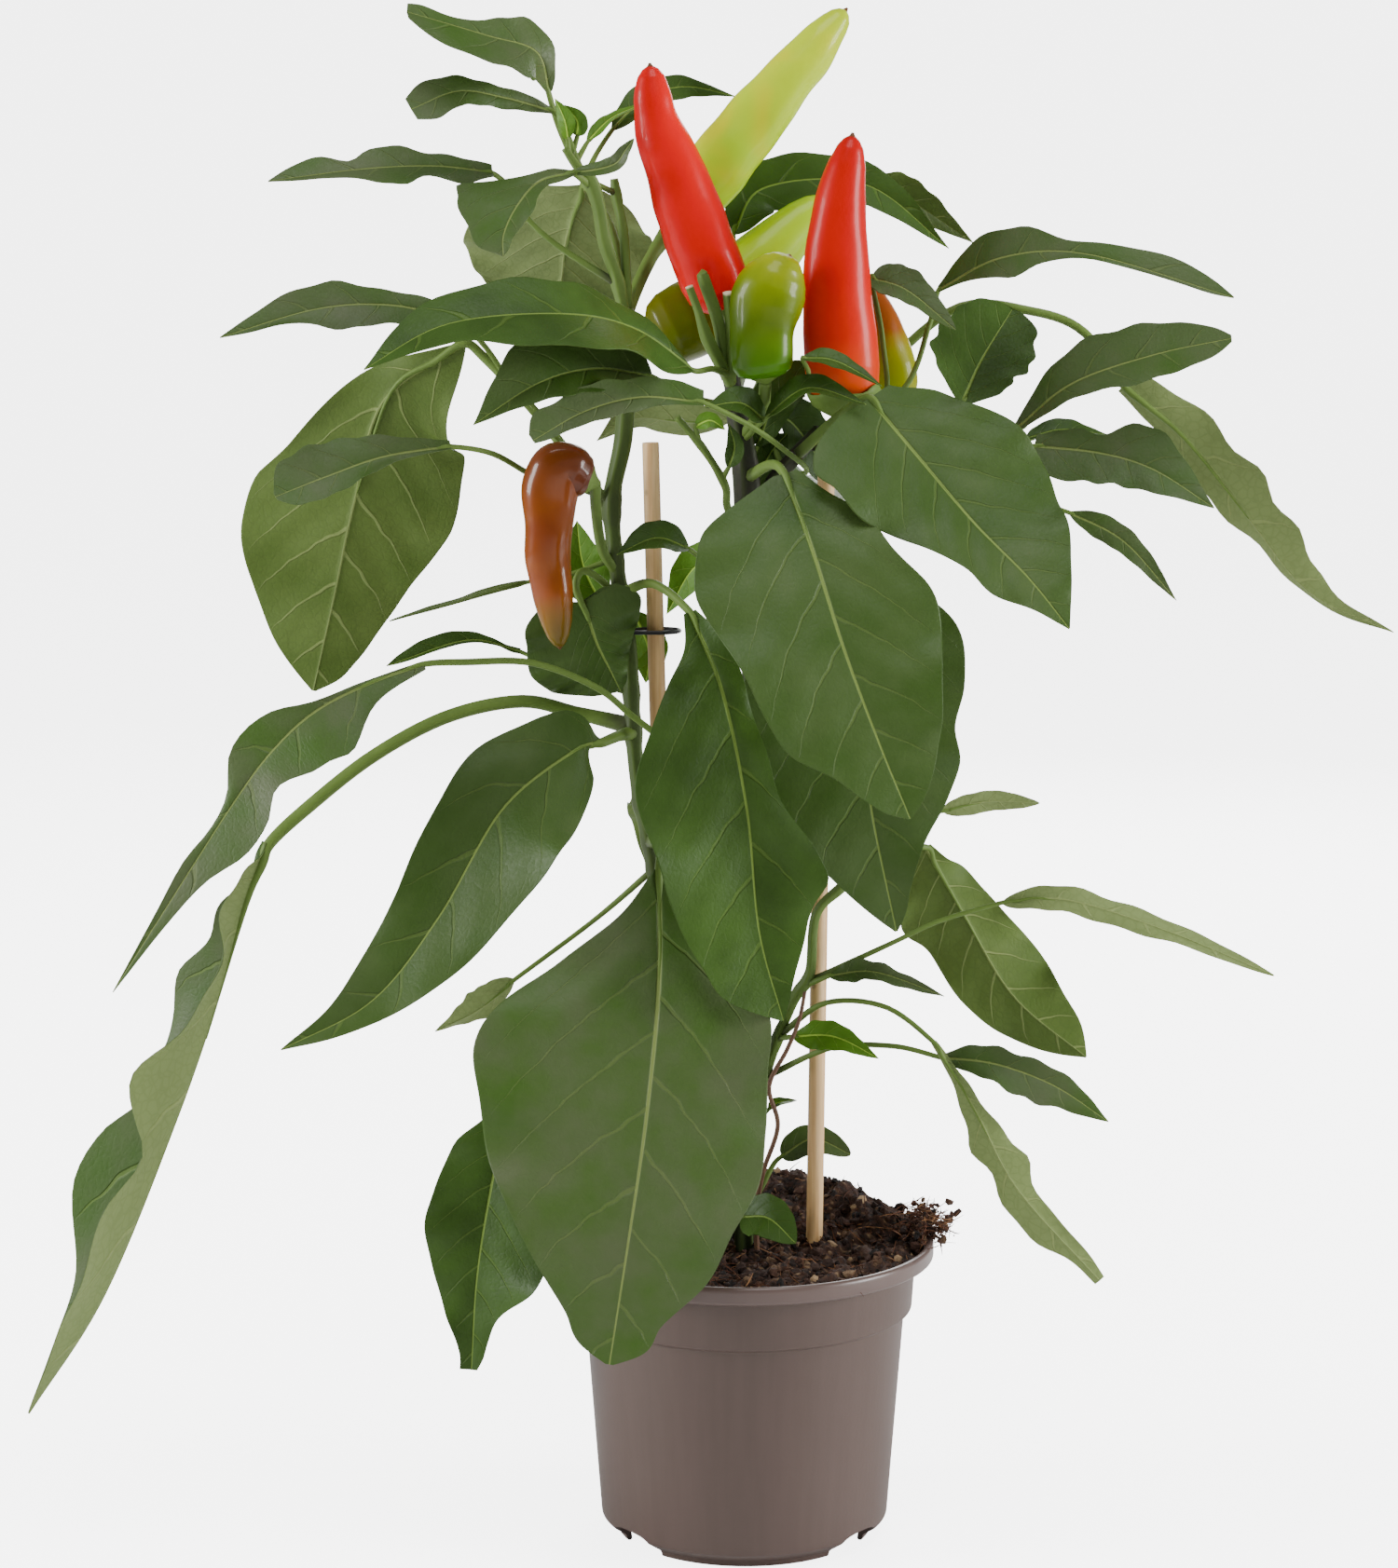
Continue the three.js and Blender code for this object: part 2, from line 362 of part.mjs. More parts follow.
// A whole leaf as one skin: a round stalk from inside its stem, flowing into a blade of even thickness.
// Large blades get more steps along and across than small ones.
function leafSolid(leaf, stems) {
  const line = curve(leaf.rib);
  const size = leaf.half[0] + leaf.half[1];
  const across = size > 38 ? [-1, -0.5, 0, 0.5, 1] : [-1, 0, 1];
  const steps = size > 55 ? 7 : size > 38 ? 6 : 5;

  const blade = [];
  for (let i = 1; i < steps; i++) {
    const points = across.map((s) => bladePoint(leaf, line, i / steps, s));
    const face = (side) => points.map(({ point, up }) => point.clone().addScaledVector(up, side * BLADE_THICKNESS / 2));
    blade.push([...face(1), ...face(-1).reverse()]);
  }

  // The stalk's rings, from the blade back to the stem, each turned as little as may be from the one before.
  const path = [stemPoint(stems[leaf.on], leaf.z).slice(0, 3), ...leaf.stalk, leaf.rib[0]].map(vector);
  const radius = leaf.stalkRadius ?? 0.85 + 0.012 * size;
  const count = 2 * across.length;
  const stalk = [];
  let { up } = bladePoint(leaf, line, 0, 0);
  for (let i = path.length - 1; i >= 0; i--) {
    const before = path[i].clone().sub(path[Math.max(i - 1, 0)]).normalize();
    const after = i + 1 < path.length ? path[i + 1].clone().sub(path[i]).normalize() : line.getTangent(0);
    const along = before.add(after).normalize();
    up = up.clone().addScaledVector(along, -up.dot(along)).normalize();
    const side = along.clone().cross(up);
    stalk.unshift(Array.from({ length: count }, (_, j) => {
      const turn = Math.PI * (1 - (j + 0.5) / across.length);
      return path[i].clone().addScaledVector(side, radius * Math.cos(turn)).addScaledVector(up, radius * Math.sin(turn));
    }));
  }
  return solid(skin([...stalk, ...blade], path[0], line.getPoint(1), (j) => j >= across.length));
}

// Pods

// A pod grown by some millimetres all round.
function pod({ path, radius }, grown = 0, sides = 12) {
  const line = curve(path);
  const rings = [];
  let side = new THREE.Vector3(0, 1, 0);
  for (const [t, part] of POD_PROFILE) {
    const along = line.getTangent(t);
    side = side.clone().addScaledVector(along, -side.dot(along)).normalize();
    const other = along.clone().cross(side);
    rings.push(Array.from({ length: sides }, (_, j) => {
      const turn = (2 * Math.PI * j) / sides;
      const reach = radius * part * (1 + 0.03 * Math.cos(3 * turn)) + grown;
      return line.getPoint(t).addScaledVector(side, reach * Math.cos(turn)).addScaledVector(other, reach * Math.sin(turn));
    }));
  }
  const start = line.getPoint(0).addScaledVector(line.getTangent(0), -0.4 - grown);
  const end = line.getPoint(1).addScaledVector(line.getTangent(1), 0.8 + grown);
  return solid(skin(rings, start, end));
}

// The green cup round a pod's blunt end, with the stalk that carries it.
function calyx(one, stems) {
  const line = curve(one.path);
  const back = line.getTangent(0).multiplyScalar(-1);
  const reach = 0.085;
  const place = (t) => (t < 0 ? line.getPoint(0).addScaledVector(back, -t) : line.getPoint(t)).toArray();
  const rim = one.radius * 0.86 + 1.5;
  const cup = tube([[...place(-3.2), 2.2], [...place(-1), one.radius * 0.62], [...place(reach * 0.4), rim * 0.93],
    [...place(reach), rim]], 10, 4);
  const root = stemPoint(stems[one.on], one.z);
  const carrier = tube([[...root.slice(0, 3), 1.6], ...one.stalk.map((p) => [...p, 1.6]), [...place(-2.4), 2.1]], 6, 3);
  return cup.add(carrier).subtract(pod(one, GAP));
}

// Stems with their leaves and calyxes

function leafyStem(which, stems, leaves) {
  const tubes = Object.entries(stems).map(([name, points]) => {
    const [x, y, z, r] = points[0];
    const rooted = z < 120 ? [[x, y, z - ROOT_DEPTH, r], ...points] : points;
    return tube(rooted, name === 'main' ? 8 : 6, rooted.length - 1);
  });
  const blades = leaves.map((leaf) => leafSolid(leaf, stems));
  const cups = PODS.filter((one) => one.stem === which).map((one) => calyx(one, stems));
  return sum([...tubes, ...blades, ...cups]);
}

// Pot

function lathe(profile, segments) {
  const points = profile.map(([r, z]) => new THREE.Vector2(r, z));
  return solid(new THREE.LatheGeometry(points, segments).rotateX(Math.PI / 2));
}

function placed(geometry, matrix) {
  return solid(geometry.applyMatrix4(matrix));
}

function makePot() {
  const lip = POT_HEIGHT;
  const body = lathe([
    [0, 0], [BOSS_RADIUS, 0], [BOSS_RADIUS + 0.6, 8], [47.4, 8], [47.2, 6.4], [42.4, 2.8], [42, 0], [44, 0],
    [44.4, 2.2], [BODY_FOOT_RADIUS, 5.6], [BODY_TOP_RADIUS, 78.4], [57.6, 79.3], [58.7, 95.8], [63.4, 96.6],
    [LIP_RADIUS, 97.6], [LIP_RADIUS, lip - 0.9], [64.2, lip], [62.8, lip], [62.1, lip - 0.9],
    [62, 98.4], [57.4, 97.4], [56.2, 80.6], [BODY_TOP_RADIUS - POT_WALL, 79.8],
    [BODY_FOOT_RADIUS - POT_WALL, FLOOR_TOP], [0, FLOOR_TOP],
  ], 28);
  const turned = (degrees) => new THREE.Matrix4().makeRotationZ(THREE.MathUtils.degToRad(degrees));

  // Arched drain notches through the foot ring
  const arch = new THREE.Shape();
  arch.moveTo(-6.5, -1);
  arch.lineTo(6.5, -1);
  arch.lineTo(6.5, 1.5);
  arch.absarc(0, 1.5, 6.5, 0, Math.PI, false);
  const notches = [45, 135, 225, 315].map((degrees) => placed(
    new THREE.ExtrudeGeometry(arch, { depth: 14, bevelEnabled: false, curveSegments: 4 })
      .scale(1, 0.92, 1).rotateX(Math.PI / 2).translate(0, 52, 0),
    turned(degrees)));

  // Round drain holes in the floor
  const drain = (degrees) => placed(
    new THREE.CylinderGeometry(3, 3, 6, 8).rotateX(Math.PI / 2).translate(30, 0, FLOOR_TOP - 1), turned(degrees));
  const drains = Array.from({ length: 8 }, (_, i) => drain(22.5 + 45 * i));

  // Hanger slots through the shoulder under the lip
  const slots = [12, 132, 252].map((degrees) => placed(
    new THREE.BoxGeometry(2.2, 15, 8).translate(60.4, 0, 97), turned(degrees)));
  return body.subtract(sum([...notches, ...drains, ...slots]));
}

// Soil

// The height of the peat: low at the front, heaped at the back and the right, with lumps.
function soilHeight(x, y) {
  const lumps = 1.1 * Math.sin(0.21 * x + 1) * Math.cos(0.17 * y) + 0.8 * Math.sin(0.43 * x - 0.37 * y);
  const heap = 9 * Math.max(0, (y + 8) / 62) ** 1.4 + 2.5 * Math.max(0, x / 62);
  const dip = Math.max(0, Math.hypot(x, y) - 50) / 12;
  return SOIL_LEVEL - 1 + lumps + heap * (1 - 0.45 * dip) + 1.2 * dip;
}

function makeSoil(sunk) {
  const top = [16, 31, 45, 55, 61.3];
  const side = [[61.4, 99.2], [56.8, 97.9], [55.7, 81.2], [53, 80.2], [BODY_FOOT_RADIUS - POT_WALL - 0.6, FLOOR_TOP + GAP]];
  const around = 30;
  const ring = (r, height) => Array.from({ length: around }, (_, j) => {
    const [x, y] = [r * Math.cos((2 * Math.PI * j) / around), r * Math.sin((2 * Math.PI * j) / around)];
    return new THREE.Vector3(x, y, height ?? soilHeight(x, y));
  });
  const rings = [...top.map((r) => ring(r)), ...side.map(([r, z]) => ring(r, z))];
  const made = solid(skin(rings, new THREE.Vector3(0, 0, soilHeight(0, 0)), new THREE.Vector3(0, 0, FLOOR_TOP + GAP)));
  return made.subtract(sum(sunk));
}

// Stakes and tie

// A stake's centre at a height, from its foot in the peat to its top.
const STAKES = {
  left: { foot: [-23.2, 8.5], top: [-32, 6] },
  right: { foot: [23.4, 5], top: [27, 5] },
};
function stakeAt({ foot, top }, z) {
  const t = (z - STAKE_FOOT) / (STAKE_TOP - STAKE_FOOT);
  return [foot[0] + (top[0] - foot[0]) * t, foot[1] + (top[1] - foot[1]) * t, z];
}
function stake(which, grown = 0) {
  const radius = STAKE_RADIUS + grown;
  return tube([[...stakeAt(which, STAKE_FOOT - grown), radius], [...stakeAt(which, STAKE_TOP), radius]], 12, 1);
}

// A loop round two circles, as a list of points.
function loop([ax, ay], ra, [bx, by], rb) {
  const [length, turn] = [Math.hypot(bx - ax, by - ay), Math.atan2(by - ay, bx - ax)];
  const lean = Math.acos((ra - rb) / length);
  const arc = (cx, cy, r, from, to) => Array.from({ length: 9 }, (_, i) => {
    const angle = turn + from + ((to - from) * i) / 8;
    return new THREE.Vector2(cx + r * Math.cos(angle), cy + r * Math.sin(angle));
  });
  return [...arc(bx, by, rb, -lean, lean), ...arc(ax, ay, ra, lean, 2 * Math.PI - lean)];
}

function makeTie() {
  const [sx, sy, , sr] = stemPoint(STEMS_LEFT.main, TIE_HEIGHT);
  const [kx, ky] = stakeAt(STAKES.left, TIE_HEIGHT);
  const ring = (grown) => loop([sx, sy], sr + grown, [kx + TIE_SLACK, ky], STAKE_RADIUS + TIE_SLACK + grown);
  const outline = new THREE.Shape(ring(GAP + 0.15 + TIE_WIRE));
  outline.holes.push(new THREE.Path(ring(GAP + 0.15)));
  return solid(new THREE.ExtrudeGeometry(outline, { depth: 1.6, bevelEnabled: false })
    .translate(0, 0, TIE_HEIGHT - 0.8));
}

// The plant, put together

const left = leafyStem('left', STEMS_LEFT, LEAVES_LEFT);
const centre = leafyStem('centre', STEMS_CENTRE, LEAVES_CENTRE);
const basal = leafyStem('basal', STEMS_BASAL, LEAVES_BASAL);
const rootedDry = [[...STEM_DRY[0].slice(0, 2), STEM_DRY[0][2] - ROOT_DEPTH, 1], ...STEM_DRY];
const dry = tube(rootedDry, 6, 10);

// What stands in the peat, each grown by the gap, so that each gets a plain hole.
const holes = [STEMS_LEFT.main, STEMS_CENTRE.main, STEMS_BASAL.main, STEM_DRY].map(([[x, y, z, r]]) => tube(
  [[x, y, z - ROOT_DEPTH - GAP, r + GAP + 0.15], [x, y, z, r + GAP + 0.15]], 10, 1));
const soil = makeSoil([...holes, stake(STAKES.left, GAP), stake(STAKES.right, GAP)]);

const plant = new THREE.Group();
plant.add(
  mesh('pot', makePot(), POT_TAUPE, 0.45),
  mesh('soil', soil, PEAT_BROWN, 0.95),
  mesh('stake_left', stake(STAKES.left), BAMBOO, 0.6),
  mesh('stake_right', stake(STAKES.right), BAMBOO, 0.6),
  mesh('wire_tie', makeTie(), WIRE_BLACK, 0.5),
  mesh('stem_left', left, LEAF_GREEN),
  mesh('stem_centre', centre, LEAF_GREEN),
  mesh('shoot_basal', basal, LEAF_GREEN),
  mesh('strand_dry', dry, DRY_BROWN, 0.9),
  ...PODS.map((one) => mesh(one.name, pod(one), one.colour, 0.25)),
);

export default plant;
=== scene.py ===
"""A potted chilli pepper plant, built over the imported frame.

Everything grows from plain lists of points in millimetres: stems, leaves and pods. The leaves are
surfaces over a rib, the stems and stalks are tubes along a smooth curve, and the pot is a turned
profile with cut openings. +Z is up, and the plant is seen from -Y.
"""

import json
import math
from dataclasses import dataclass

import bpy
import numpy as np
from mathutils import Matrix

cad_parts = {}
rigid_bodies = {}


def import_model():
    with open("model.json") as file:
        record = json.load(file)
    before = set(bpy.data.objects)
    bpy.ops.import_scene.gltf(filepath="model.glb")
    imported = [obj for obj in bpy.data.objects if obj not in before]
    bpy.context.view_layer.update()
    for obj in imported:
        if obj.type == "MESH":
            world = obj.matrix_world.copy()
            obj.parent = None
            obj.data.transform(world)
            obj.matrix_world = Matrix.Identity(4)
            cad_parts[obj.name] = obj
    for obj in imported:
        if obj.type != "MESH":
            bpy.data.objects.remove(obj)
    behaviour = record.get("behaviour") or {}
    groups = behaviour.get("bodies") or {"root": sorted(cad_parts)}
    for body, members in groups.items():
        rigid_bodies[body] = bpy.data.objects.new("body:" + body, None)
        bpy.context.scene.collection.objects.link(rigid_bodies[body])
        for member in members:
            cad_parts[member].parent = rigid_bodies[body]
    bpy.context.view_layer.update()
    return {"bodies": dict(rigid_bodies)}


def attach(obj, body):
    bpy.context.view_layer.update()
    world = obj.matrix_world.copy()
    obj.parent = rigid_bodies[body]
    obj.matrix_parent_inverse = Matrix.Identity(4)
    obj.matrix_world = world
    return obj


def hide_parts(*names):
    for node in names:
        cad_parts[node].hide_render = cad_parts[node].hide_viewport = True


bl_info = {
    "name": "Potted Chilli Pepper",
    "version": (1, 0, 0),
    "blender": (4, 5, 0),
    "location": "3D View > Sidebar > Chilli",
    "description": "Builds a potted chilli pepper plant with pods, stakes and a studio",
    "category": "Add Mesh",
}

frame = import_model()
MM = 0.001

# Leaf tones: deep green, ripe, a dull grey-green that is partly the green of old leaves and
# partly painted sheen and light, the same with a pale underside that is partly painted light
# shining through from behind, and the bright green of young leaves
DEEP = 0.0
RIPE = 0.25
DULL = 0.5
PALE = 0.75
YOUNG = 1.0

# A leaf whose half widths add up to more than this many millimetres gets the fine grid
BROAD = 38


@dataclass
class Leaf:
    """A leaf. Its stalk leaves the stem tube `on` at height z and passes the points of `stalk`;
    `rib` runs from the blade's base to its tip; `half` is the half width left and right of the
    rib, seen from the base with the upper face up; `face` is where the upper face looks; `fold`
    lifts the halves by degrees; `widest` is where along the rib each half is widest; a small
    `blunt` gives fuller ends; `wave` is the height of the margin's waves. `edge`, where given,
    lists the half widths left and right at shares of the rib, for a blade with an outline of its
    own; `lobe` draws the margins back beside the stalk. Lengths are in millimetres."""

    on: str
    z: float
    stalk: list
    rib: list
    half: tuple
    face: tuple
    fold: tuple = (15, 15)
    widest: tuple = (0.4, 0.4)
    blunt: float = 1.15
    wave: float = 2
    stalk_radius: float = 0
    tone: float = DEEP
    lobe: float = 0
    edge: tuple = ()


# How thick a pod is along its path, as a share of its radius
POD_PROFILE = (
    (0, 0.3), (0.015, 0.55), (0.04, 0.76), (0.1, 0.93), (0.2, 1), (0.35, 0.99), (0.5, 0.93),
    (0.65, 0.81), (0.78, 0.66), (0.88, 0.53), (0.95, 0.39), (0.985, 0.25), (1, 0.1),
)


@dataclass
class Pod:
    """A pod from its blunt end in the calyx to its tip, with the points of its own stalk. `skin`
    lists the skin's colours from the blunt end to the tip, `blush` is a second colour that lies
    over it in soft patches. `profile` gives shares of the radius along the path, `cup` the calyx's
    size as a factor, and `wax` how glossy the wax is."""

    node: str
    slot: str
    on: str
    z: float
    stalk: list
    path: list
    radius: float
    skin: list
    blush: tuple
    lobes: float = 0.035
    dimples: float = 0.25
    profile: tuple = POD_PROFILE
    cup: float = 1
    wax: float = 0.15


# Stem tubes: points along the middle, each with the tube's radius
STEMS_LEFT = {
    "main": [(-13, -3, 104, 2.8), (-19, -3, 145, 2.8), (-26, -3, 197, 2.7), (-31, -2, 234, 2.6),
        (-35.8, -1, 258, 2.6), (-38, 2, 280, 2.6), (-39, 4, 305, 2.5), (-42, 4, 324, 2.5),
        (-45, 6, 354, 2.7), (-41, 8, 377, 3.1), (-40, 8, 399, 3), (-40, 8, 420, 2.2)],
    "top": [(-40, 8, 415, 2), (-43, 8, 430, 2.1), (-47, 7, 442, 2.3), (-49, 6, 454, 2.3),
        (-52, 4, 463, 1.9), (-56, 3, 467, 1.2), (-60, 2, 473, 1)],
    "second": [(-39, 9, 415, 1.6), (-40, 10, 433, 1.6), (-41, 12, 446, 1.7), (-43, 14, 456, 1.7),
        (-44, 14, 463, 1.3)],
}
STEMS_CENTRE = {
    "main": [(0, 0, 105, 3.2), (2, 0, 177, 3.2), (3, 2, 242, 3.1), (2, 2, 305, 3.1),
        (1, 2, 349, 3.6), (0, 2, 368, 3.6), (-2, 2, 380, 3), (-4, 2, 393, 2.7), (-7, 2, 408, 2)],
    "fork": [(1, 2, 349, 2.6), (9, 4, 362, 2.2), (17, 8, 371, 2.1), (25, 14, 379, 1.9)],
    "stub_left": [(-5, 0, 395, 1.7), (-9, -3, 403, 2.1), (-13, -6, 411, 2.2), (-16, -8, 420, 1.4),
        (-19, -9, 428, 1.3)],
    "stub_middle": [(-6, 1, 397, 2.2), (-9, -3, 415, 2.1), (-14, -6, 430, 2.1),
        (-14.3, -6.1, 431.6, 1.5)],
    "stub_right": [(-5, 0, 396, 1.8), (-5, -4, 412, 1.8), (-6, -7, 426, 1.8)],
    "budding": [(1, 1, 340, 1.3), (-6, -4, 354, 1.3), (-7, -6, 362, 1.2), (-14, -8, 374, 1.2),
        (-23, -12, 385, 1.1)],
}
STEMS_BASAL = {
    "main": [(4, 12, 108, 1.8), (5, 9, 146, 1.7), (10, 4, 168, 1.7), (17, -1, 187, 1.7),
        (22, -3, 196, 1.7), (24, -3, 216, 1.6), (33, -3, 226, 1.5)],
}
LEAVES_LEFT = [
    Leaf("top", 467, [(-62, 2, 480)], [(-65, 0, 491), (-69, -6, 504), (-85, -14, 509),
         (-110, -26, 516)],
         (18, 10), (0.3, -0.8, 0.7), tone=DULL,
         edge=[(0, 1, 1), (0.2, 8, 5), (0.4, 18, 10), (0.6, 17, 7), (0.8, 14, 3), (0.95, 8, 4),
         (1, 3, 3)]),
    Leaf("top", 466, [(-60, 2, 479)], [(-64, 0, 485), (-79, -8, 489), (-94, -16, 491),
         (-109, -24, 485)],
         (6.5, 6.5), (0, -1, 0.4), fold=(3, 3), tone=DULL,
         edge=[(0, 1, 1), (0.2, 3, 3), (0.45, 4, 4), (0.7, 5.5, 5.5), (0.9, 6.5, 6.5), (1, 4, 4)]),
    Leaf("top", 471, [], [(-59, 1, 476), (-60, -3, 482), (-63, -5, 489)],
         (3.5, 3.5), (0.5, -1, 0.2), wave=0.6, tone=YOUNG),
    Leaf("top", 470, [], [(-56, 3, 477), (-56, 0, 482), (-60, -2, 487)],
         (4, 4), (-0.3, -1, 0.2), wave=0.6, tone=YOUNG),
    Leaf("top", 468, [], [(-53, 9, 475), (-45, 19, 483), (-34, 28, 488)],
         (3, 3), (0, -0.3, 1), wave=0.8, tone=YOUNG),
    Leaf("top", 464, [(-50, 12, 471)], [(-45, 20, 479), (-34, 34, 490), (-20, 46, 494),
         (-3, 58, 491)],
         (5.5, 5.5), (0, -0.9, 0.5), fold=(5, 5)),
    Leaf("top", 428, [(-63, 8, 441), (-73, 10, 450), (-79, 8, 460)], [(-84, 4, 465),
         (-103, -2, 467), (-126, -10, 466), (-156, -22, 462)],
         (14, 8), (0, -0.7, 0.8), tone=DULL,
         edge=[(0, 3, 3), (0.2, 10, 5), (0.4, 8, 6), (0.55, 14, 8), (0.63, 13, 7), (0.7, 6, 4),
         (0.8, 3, 7), (0.9, 2, 5), (1, 0, 0)]),
    Leaf("top", 460, [], [(-57, -2, 465), (-68, -12, 462), (-75, -22, 454), (-79, -28, 445),
         (-79, -32, 438)],
         (6, 22), (-0.3, -0.9, 0.4), fold=(5, 5), wave=1, tone=DULL,
         edge=[(0, 1, 1), (0.1, 2.5, 3), (0.29, 4, 5.5), (0.4, 5, 15), (0.47, 6, 22),
         (0.57, 6, 20), (0.74, 4.5, 12), (0.86, 3, 7.5), (0.93, 2, 3.5), (1, 0, 0)]),
    Leaf("second", 458, [], [(-57, 0, 465), (-49, -4, 466), (-43, -6, 468), (-40, -8, 472),
         (-37, -8, 476)],
         (3, 3), (0, -0.9, 0.5), wave=0.6, blunt=0.8, tone=DULL),
    Leaf("main", 418, [(-45, 24, 445)], [(-54, 34, 461), (-61, 50, 443), (-65, 70, 422),
         (-75, 86, 404)],
         (35, 30), (0.1, 0.8, 0.6), fold=(3, 3), widest=(0.45, 0.35), tone=PALE),
    Leaf("main", 354, [(-59, -2, 373), (-74, -8, 390), (-86, -12, 408)], [(-95, -14, 417),
         (-116, -20, 422), (-140, -28, 421), (-171, -36, 412)],
         (8.5, 8.5), (0, -1, 0.5), fold=(5, 5), tone=DULL,
         edge=[(0, 3, 3), (0.2, 6, 5), (0.4, 7.5, 5.5), (0.6, 8.5, 8.5), (0.7, 5, 8),
         (0.8, 2, 6.5), (0.9, 1.5, 3.5), (1, 0, 0)]),
    Leaf("main", 352, [(-69, 14, 383), (-88, 20, 403)], [(-95, 20, 408), (-123, 28, 388),
         (-134, 34, 353), (-141, 30, 321), (-148, 22, 289)],
         (38, 35), (0.1, 1, 0), fold=(6, 6),
         edge=[(0, 1, 1), (0.1, 5, 15), (0.2, 10, 26), (0.3, 17, 32), (0.4, 26, 35), (0.5, 37, 35),
         (0.6, 38, 30), (0.7, 33, 24), (0.8, 26, 18), (0.9, 16, 12), (0.96, 7, 7), (1, 0, 0)]),
    Leaf("main", 356, [(-62, 0, 363), (-71, -2, 365), (-84, -12, 373)], [(-97, -20, 376),
         (-119, -28, 373), (-137, -34, 367), (-153, -42, 361)],
         (7, 11.5), (0, -1, 0.5), fold=(5, 5), tone=DULL,
         edge=[(0, 1, 2), (0.2, 2, 5), (0.4, 4, 9), (0.6, 6.5, 11.5), (0.8, 7, 11), (0.93, 5, 8),
         (1, 1, 1)]),
    Leaf("main", 318, [(-46, 2, 327), (-54, -1, 333), (-57, -3, 328)], [(-53, -4, 318),
         (-50, -5, 309), (-46, -6, 301), (-42, -7, 293)],
         (17, 24), (0, -1, 0.3), fold=(8, 0), lobe=8, tone=RIPE,
         edge=[(0, 12, 14), (0.05, 17, 19), (0.2, 17, 23), (0.4, 13, 24), (0.6, 9, 21),
         (0.8, 5, 14), (0.93, 3, 7), (1, 0, 0)]),
    Leaf("main", 280, [(-57, 6, 284), (-76, 6, 288), (-101, 4, 283), (-126, 0, 270),
         (-148, -4, 253)], [(-161, -8, 242), (-169, -10, 223), (-178, -12, 191), (-193, -14, 148),
         (-219, -14, 86), (-247, -10, 42)],
         (26, 28), (-0.94, -0.1, 0.35), fold=(40, 58), wave=3, stalk_radius=2.3, tone=PALE,
         edge=[(0, 2, 2), (0.1, 3, 3), (0.2, 5, 5), (0.3, 9, 7), (0.4, 10, 19), (0.47, 15, 20),
         (0.55, 26, 14), (0.6, 21, 13), (0.65, 11, 24), (0.7, 21, 28), (0.8, 19, 17), (0.9, 9, 7),
         (1, 0, 0)]),
    Leaf("main", 278, [(-43, -8, 278)], [(-48, -14, 277), (-58, -18, 274), (-81, -26, 256),
         (-102, -34, 221), (-124, -40, 194), (-154, -48, 179)],
         (29.5, 21), (-0.2, -1, 0.5), stalk_radius=1.9, tone=RIPE,
         edge=[(0, 0.5, 1), (0.05, 0.5, 4), (0.1, 1, 9), (0.15, 5, 13), (0.2, 13, 15),
         (0.25, 20, 17), (0.35, 29, 21), (0.44, 29.5, 18), (0.53, 24, 18.5), (0.63, 19.5, 16),
         (0.72, 14.5, 14), (0.81, 8.5, 10), (0.91, 4.5, 4), (1, 0, 0)]),
    Leaf("main", 325, [(-31, -14, 330)], [(-19, -24, 322), (-8, -34, 296), (0, -42, 258),
         (4, -48, 219), (12, -54, 190)],
         (25, 36), (0.1, -1, 0.2),
         edge=[(0, 2, 2), (0.1, 6.5, 7), (0.2, 8, 18), (0.3, 8, 28), (0.4, 10, 36), (0.5, 12, 36),
         (0.6, 22, 33), (0.65, 25, 31), (0.7, 20, 28), (0.8, 14, 22), (0.9, 7, 17), (0.96, 3, 8),
         (1, 0, 0)]),
    Leaf("main", 241, [(-28, -20, 245)], [(-29, -30, 237), (-29, -46, 200), (-33, -60, 159),
         (-39, -72, 119), (-45, -79, 81)],
         (40, 58), (0, -1, 0.25), fold=(6, 6), wave=3, tone=DULL,
         edge=[(0, 1, 1), (0.1, 11, 13), (0.2, 27, 33), (0.3, 38, 50), (0.4, 38, 58),
         (0.5, 39, 56), (0.6, 40, 51), (0.7, 33, 41), (0.8, 27, 30), (0.9, 15, 17), (0.97, 9, 9),
         (1, 0, 0)]),
    Leaf("main", 210, [(-44, -6, 185)], [(-80, -10, 153), (-86, -16, 126), (-91, -22, 95),
         (-93, -26, 63)],
         (25, 19.5), (-0.2, -1, 0.2),
         edge=[(0, 2, 3), (0.1, 12, 8), (0.2, 19, 14), (0.4, 24, 19.5), (0.6, 25, 17.5),
         (0.7, 22, 14), (0.8, 10, 10), (0.9, 5.5, 5.5), (0.96, 4, 4), (1, 2, 4)]),
    Leaf("main", 232, [(-51, 6, 213)], [(-79, 6, 192), (-91, 4, 182), (-106, 0, 175)],
         (7, 6), (0, 0.7, 0.5), tone=YOUNG),
    Leaf("main", 337, [(-60, 6, 331)], [(-73, 6, 329), (-97, 4, 322), (-120, 0, 316)],
         (4, 4), (0, 0.3, 1), wave=1),
    Leaf("main", 291, [(-57, 4, 297)], [(-76, 6, 305), (-94, 4, 309), (-121, -2, 301)],
         (1.5, 4.5), (0, -0.8, 0.6), wave=1.5,
         edge=[(0, 1, 1), (0.3, 1, 1.5), (0.5, 1, 3), (0.65, 1, 4.5), (0.8, 1.5, 4), (0.9, 1, 2.5),
         (1, 0, 0)]),
    Leaf("main", 317, [], [(-49, 9, 321), (-55, 11, 334), (-57, 11, 349)],
         (9, 9), (-0.2, -1, 0.2), wave=1, tone=YOUNG),
    Leaf("main", 322, [], [(-38, 14, 318), (-33, 20, 304), (-34, 23, 292)],
         (7, 7), (0, -1, 0.4), wave=1, tone=YOUNG),
    Leaf("main", 113, [(-6, -8, 116)], [(-1, -12, 113), (8, -18, 114), (17, -24, 107)],
         (8, 9), (0, -0.8, 0.6), blunt=0.75, wave=0.8),
    Leaf("main", 254, [(-30, 28, 258)], [(-27, 44, 251), (-21, 70, 237), (-17, 96, 212),
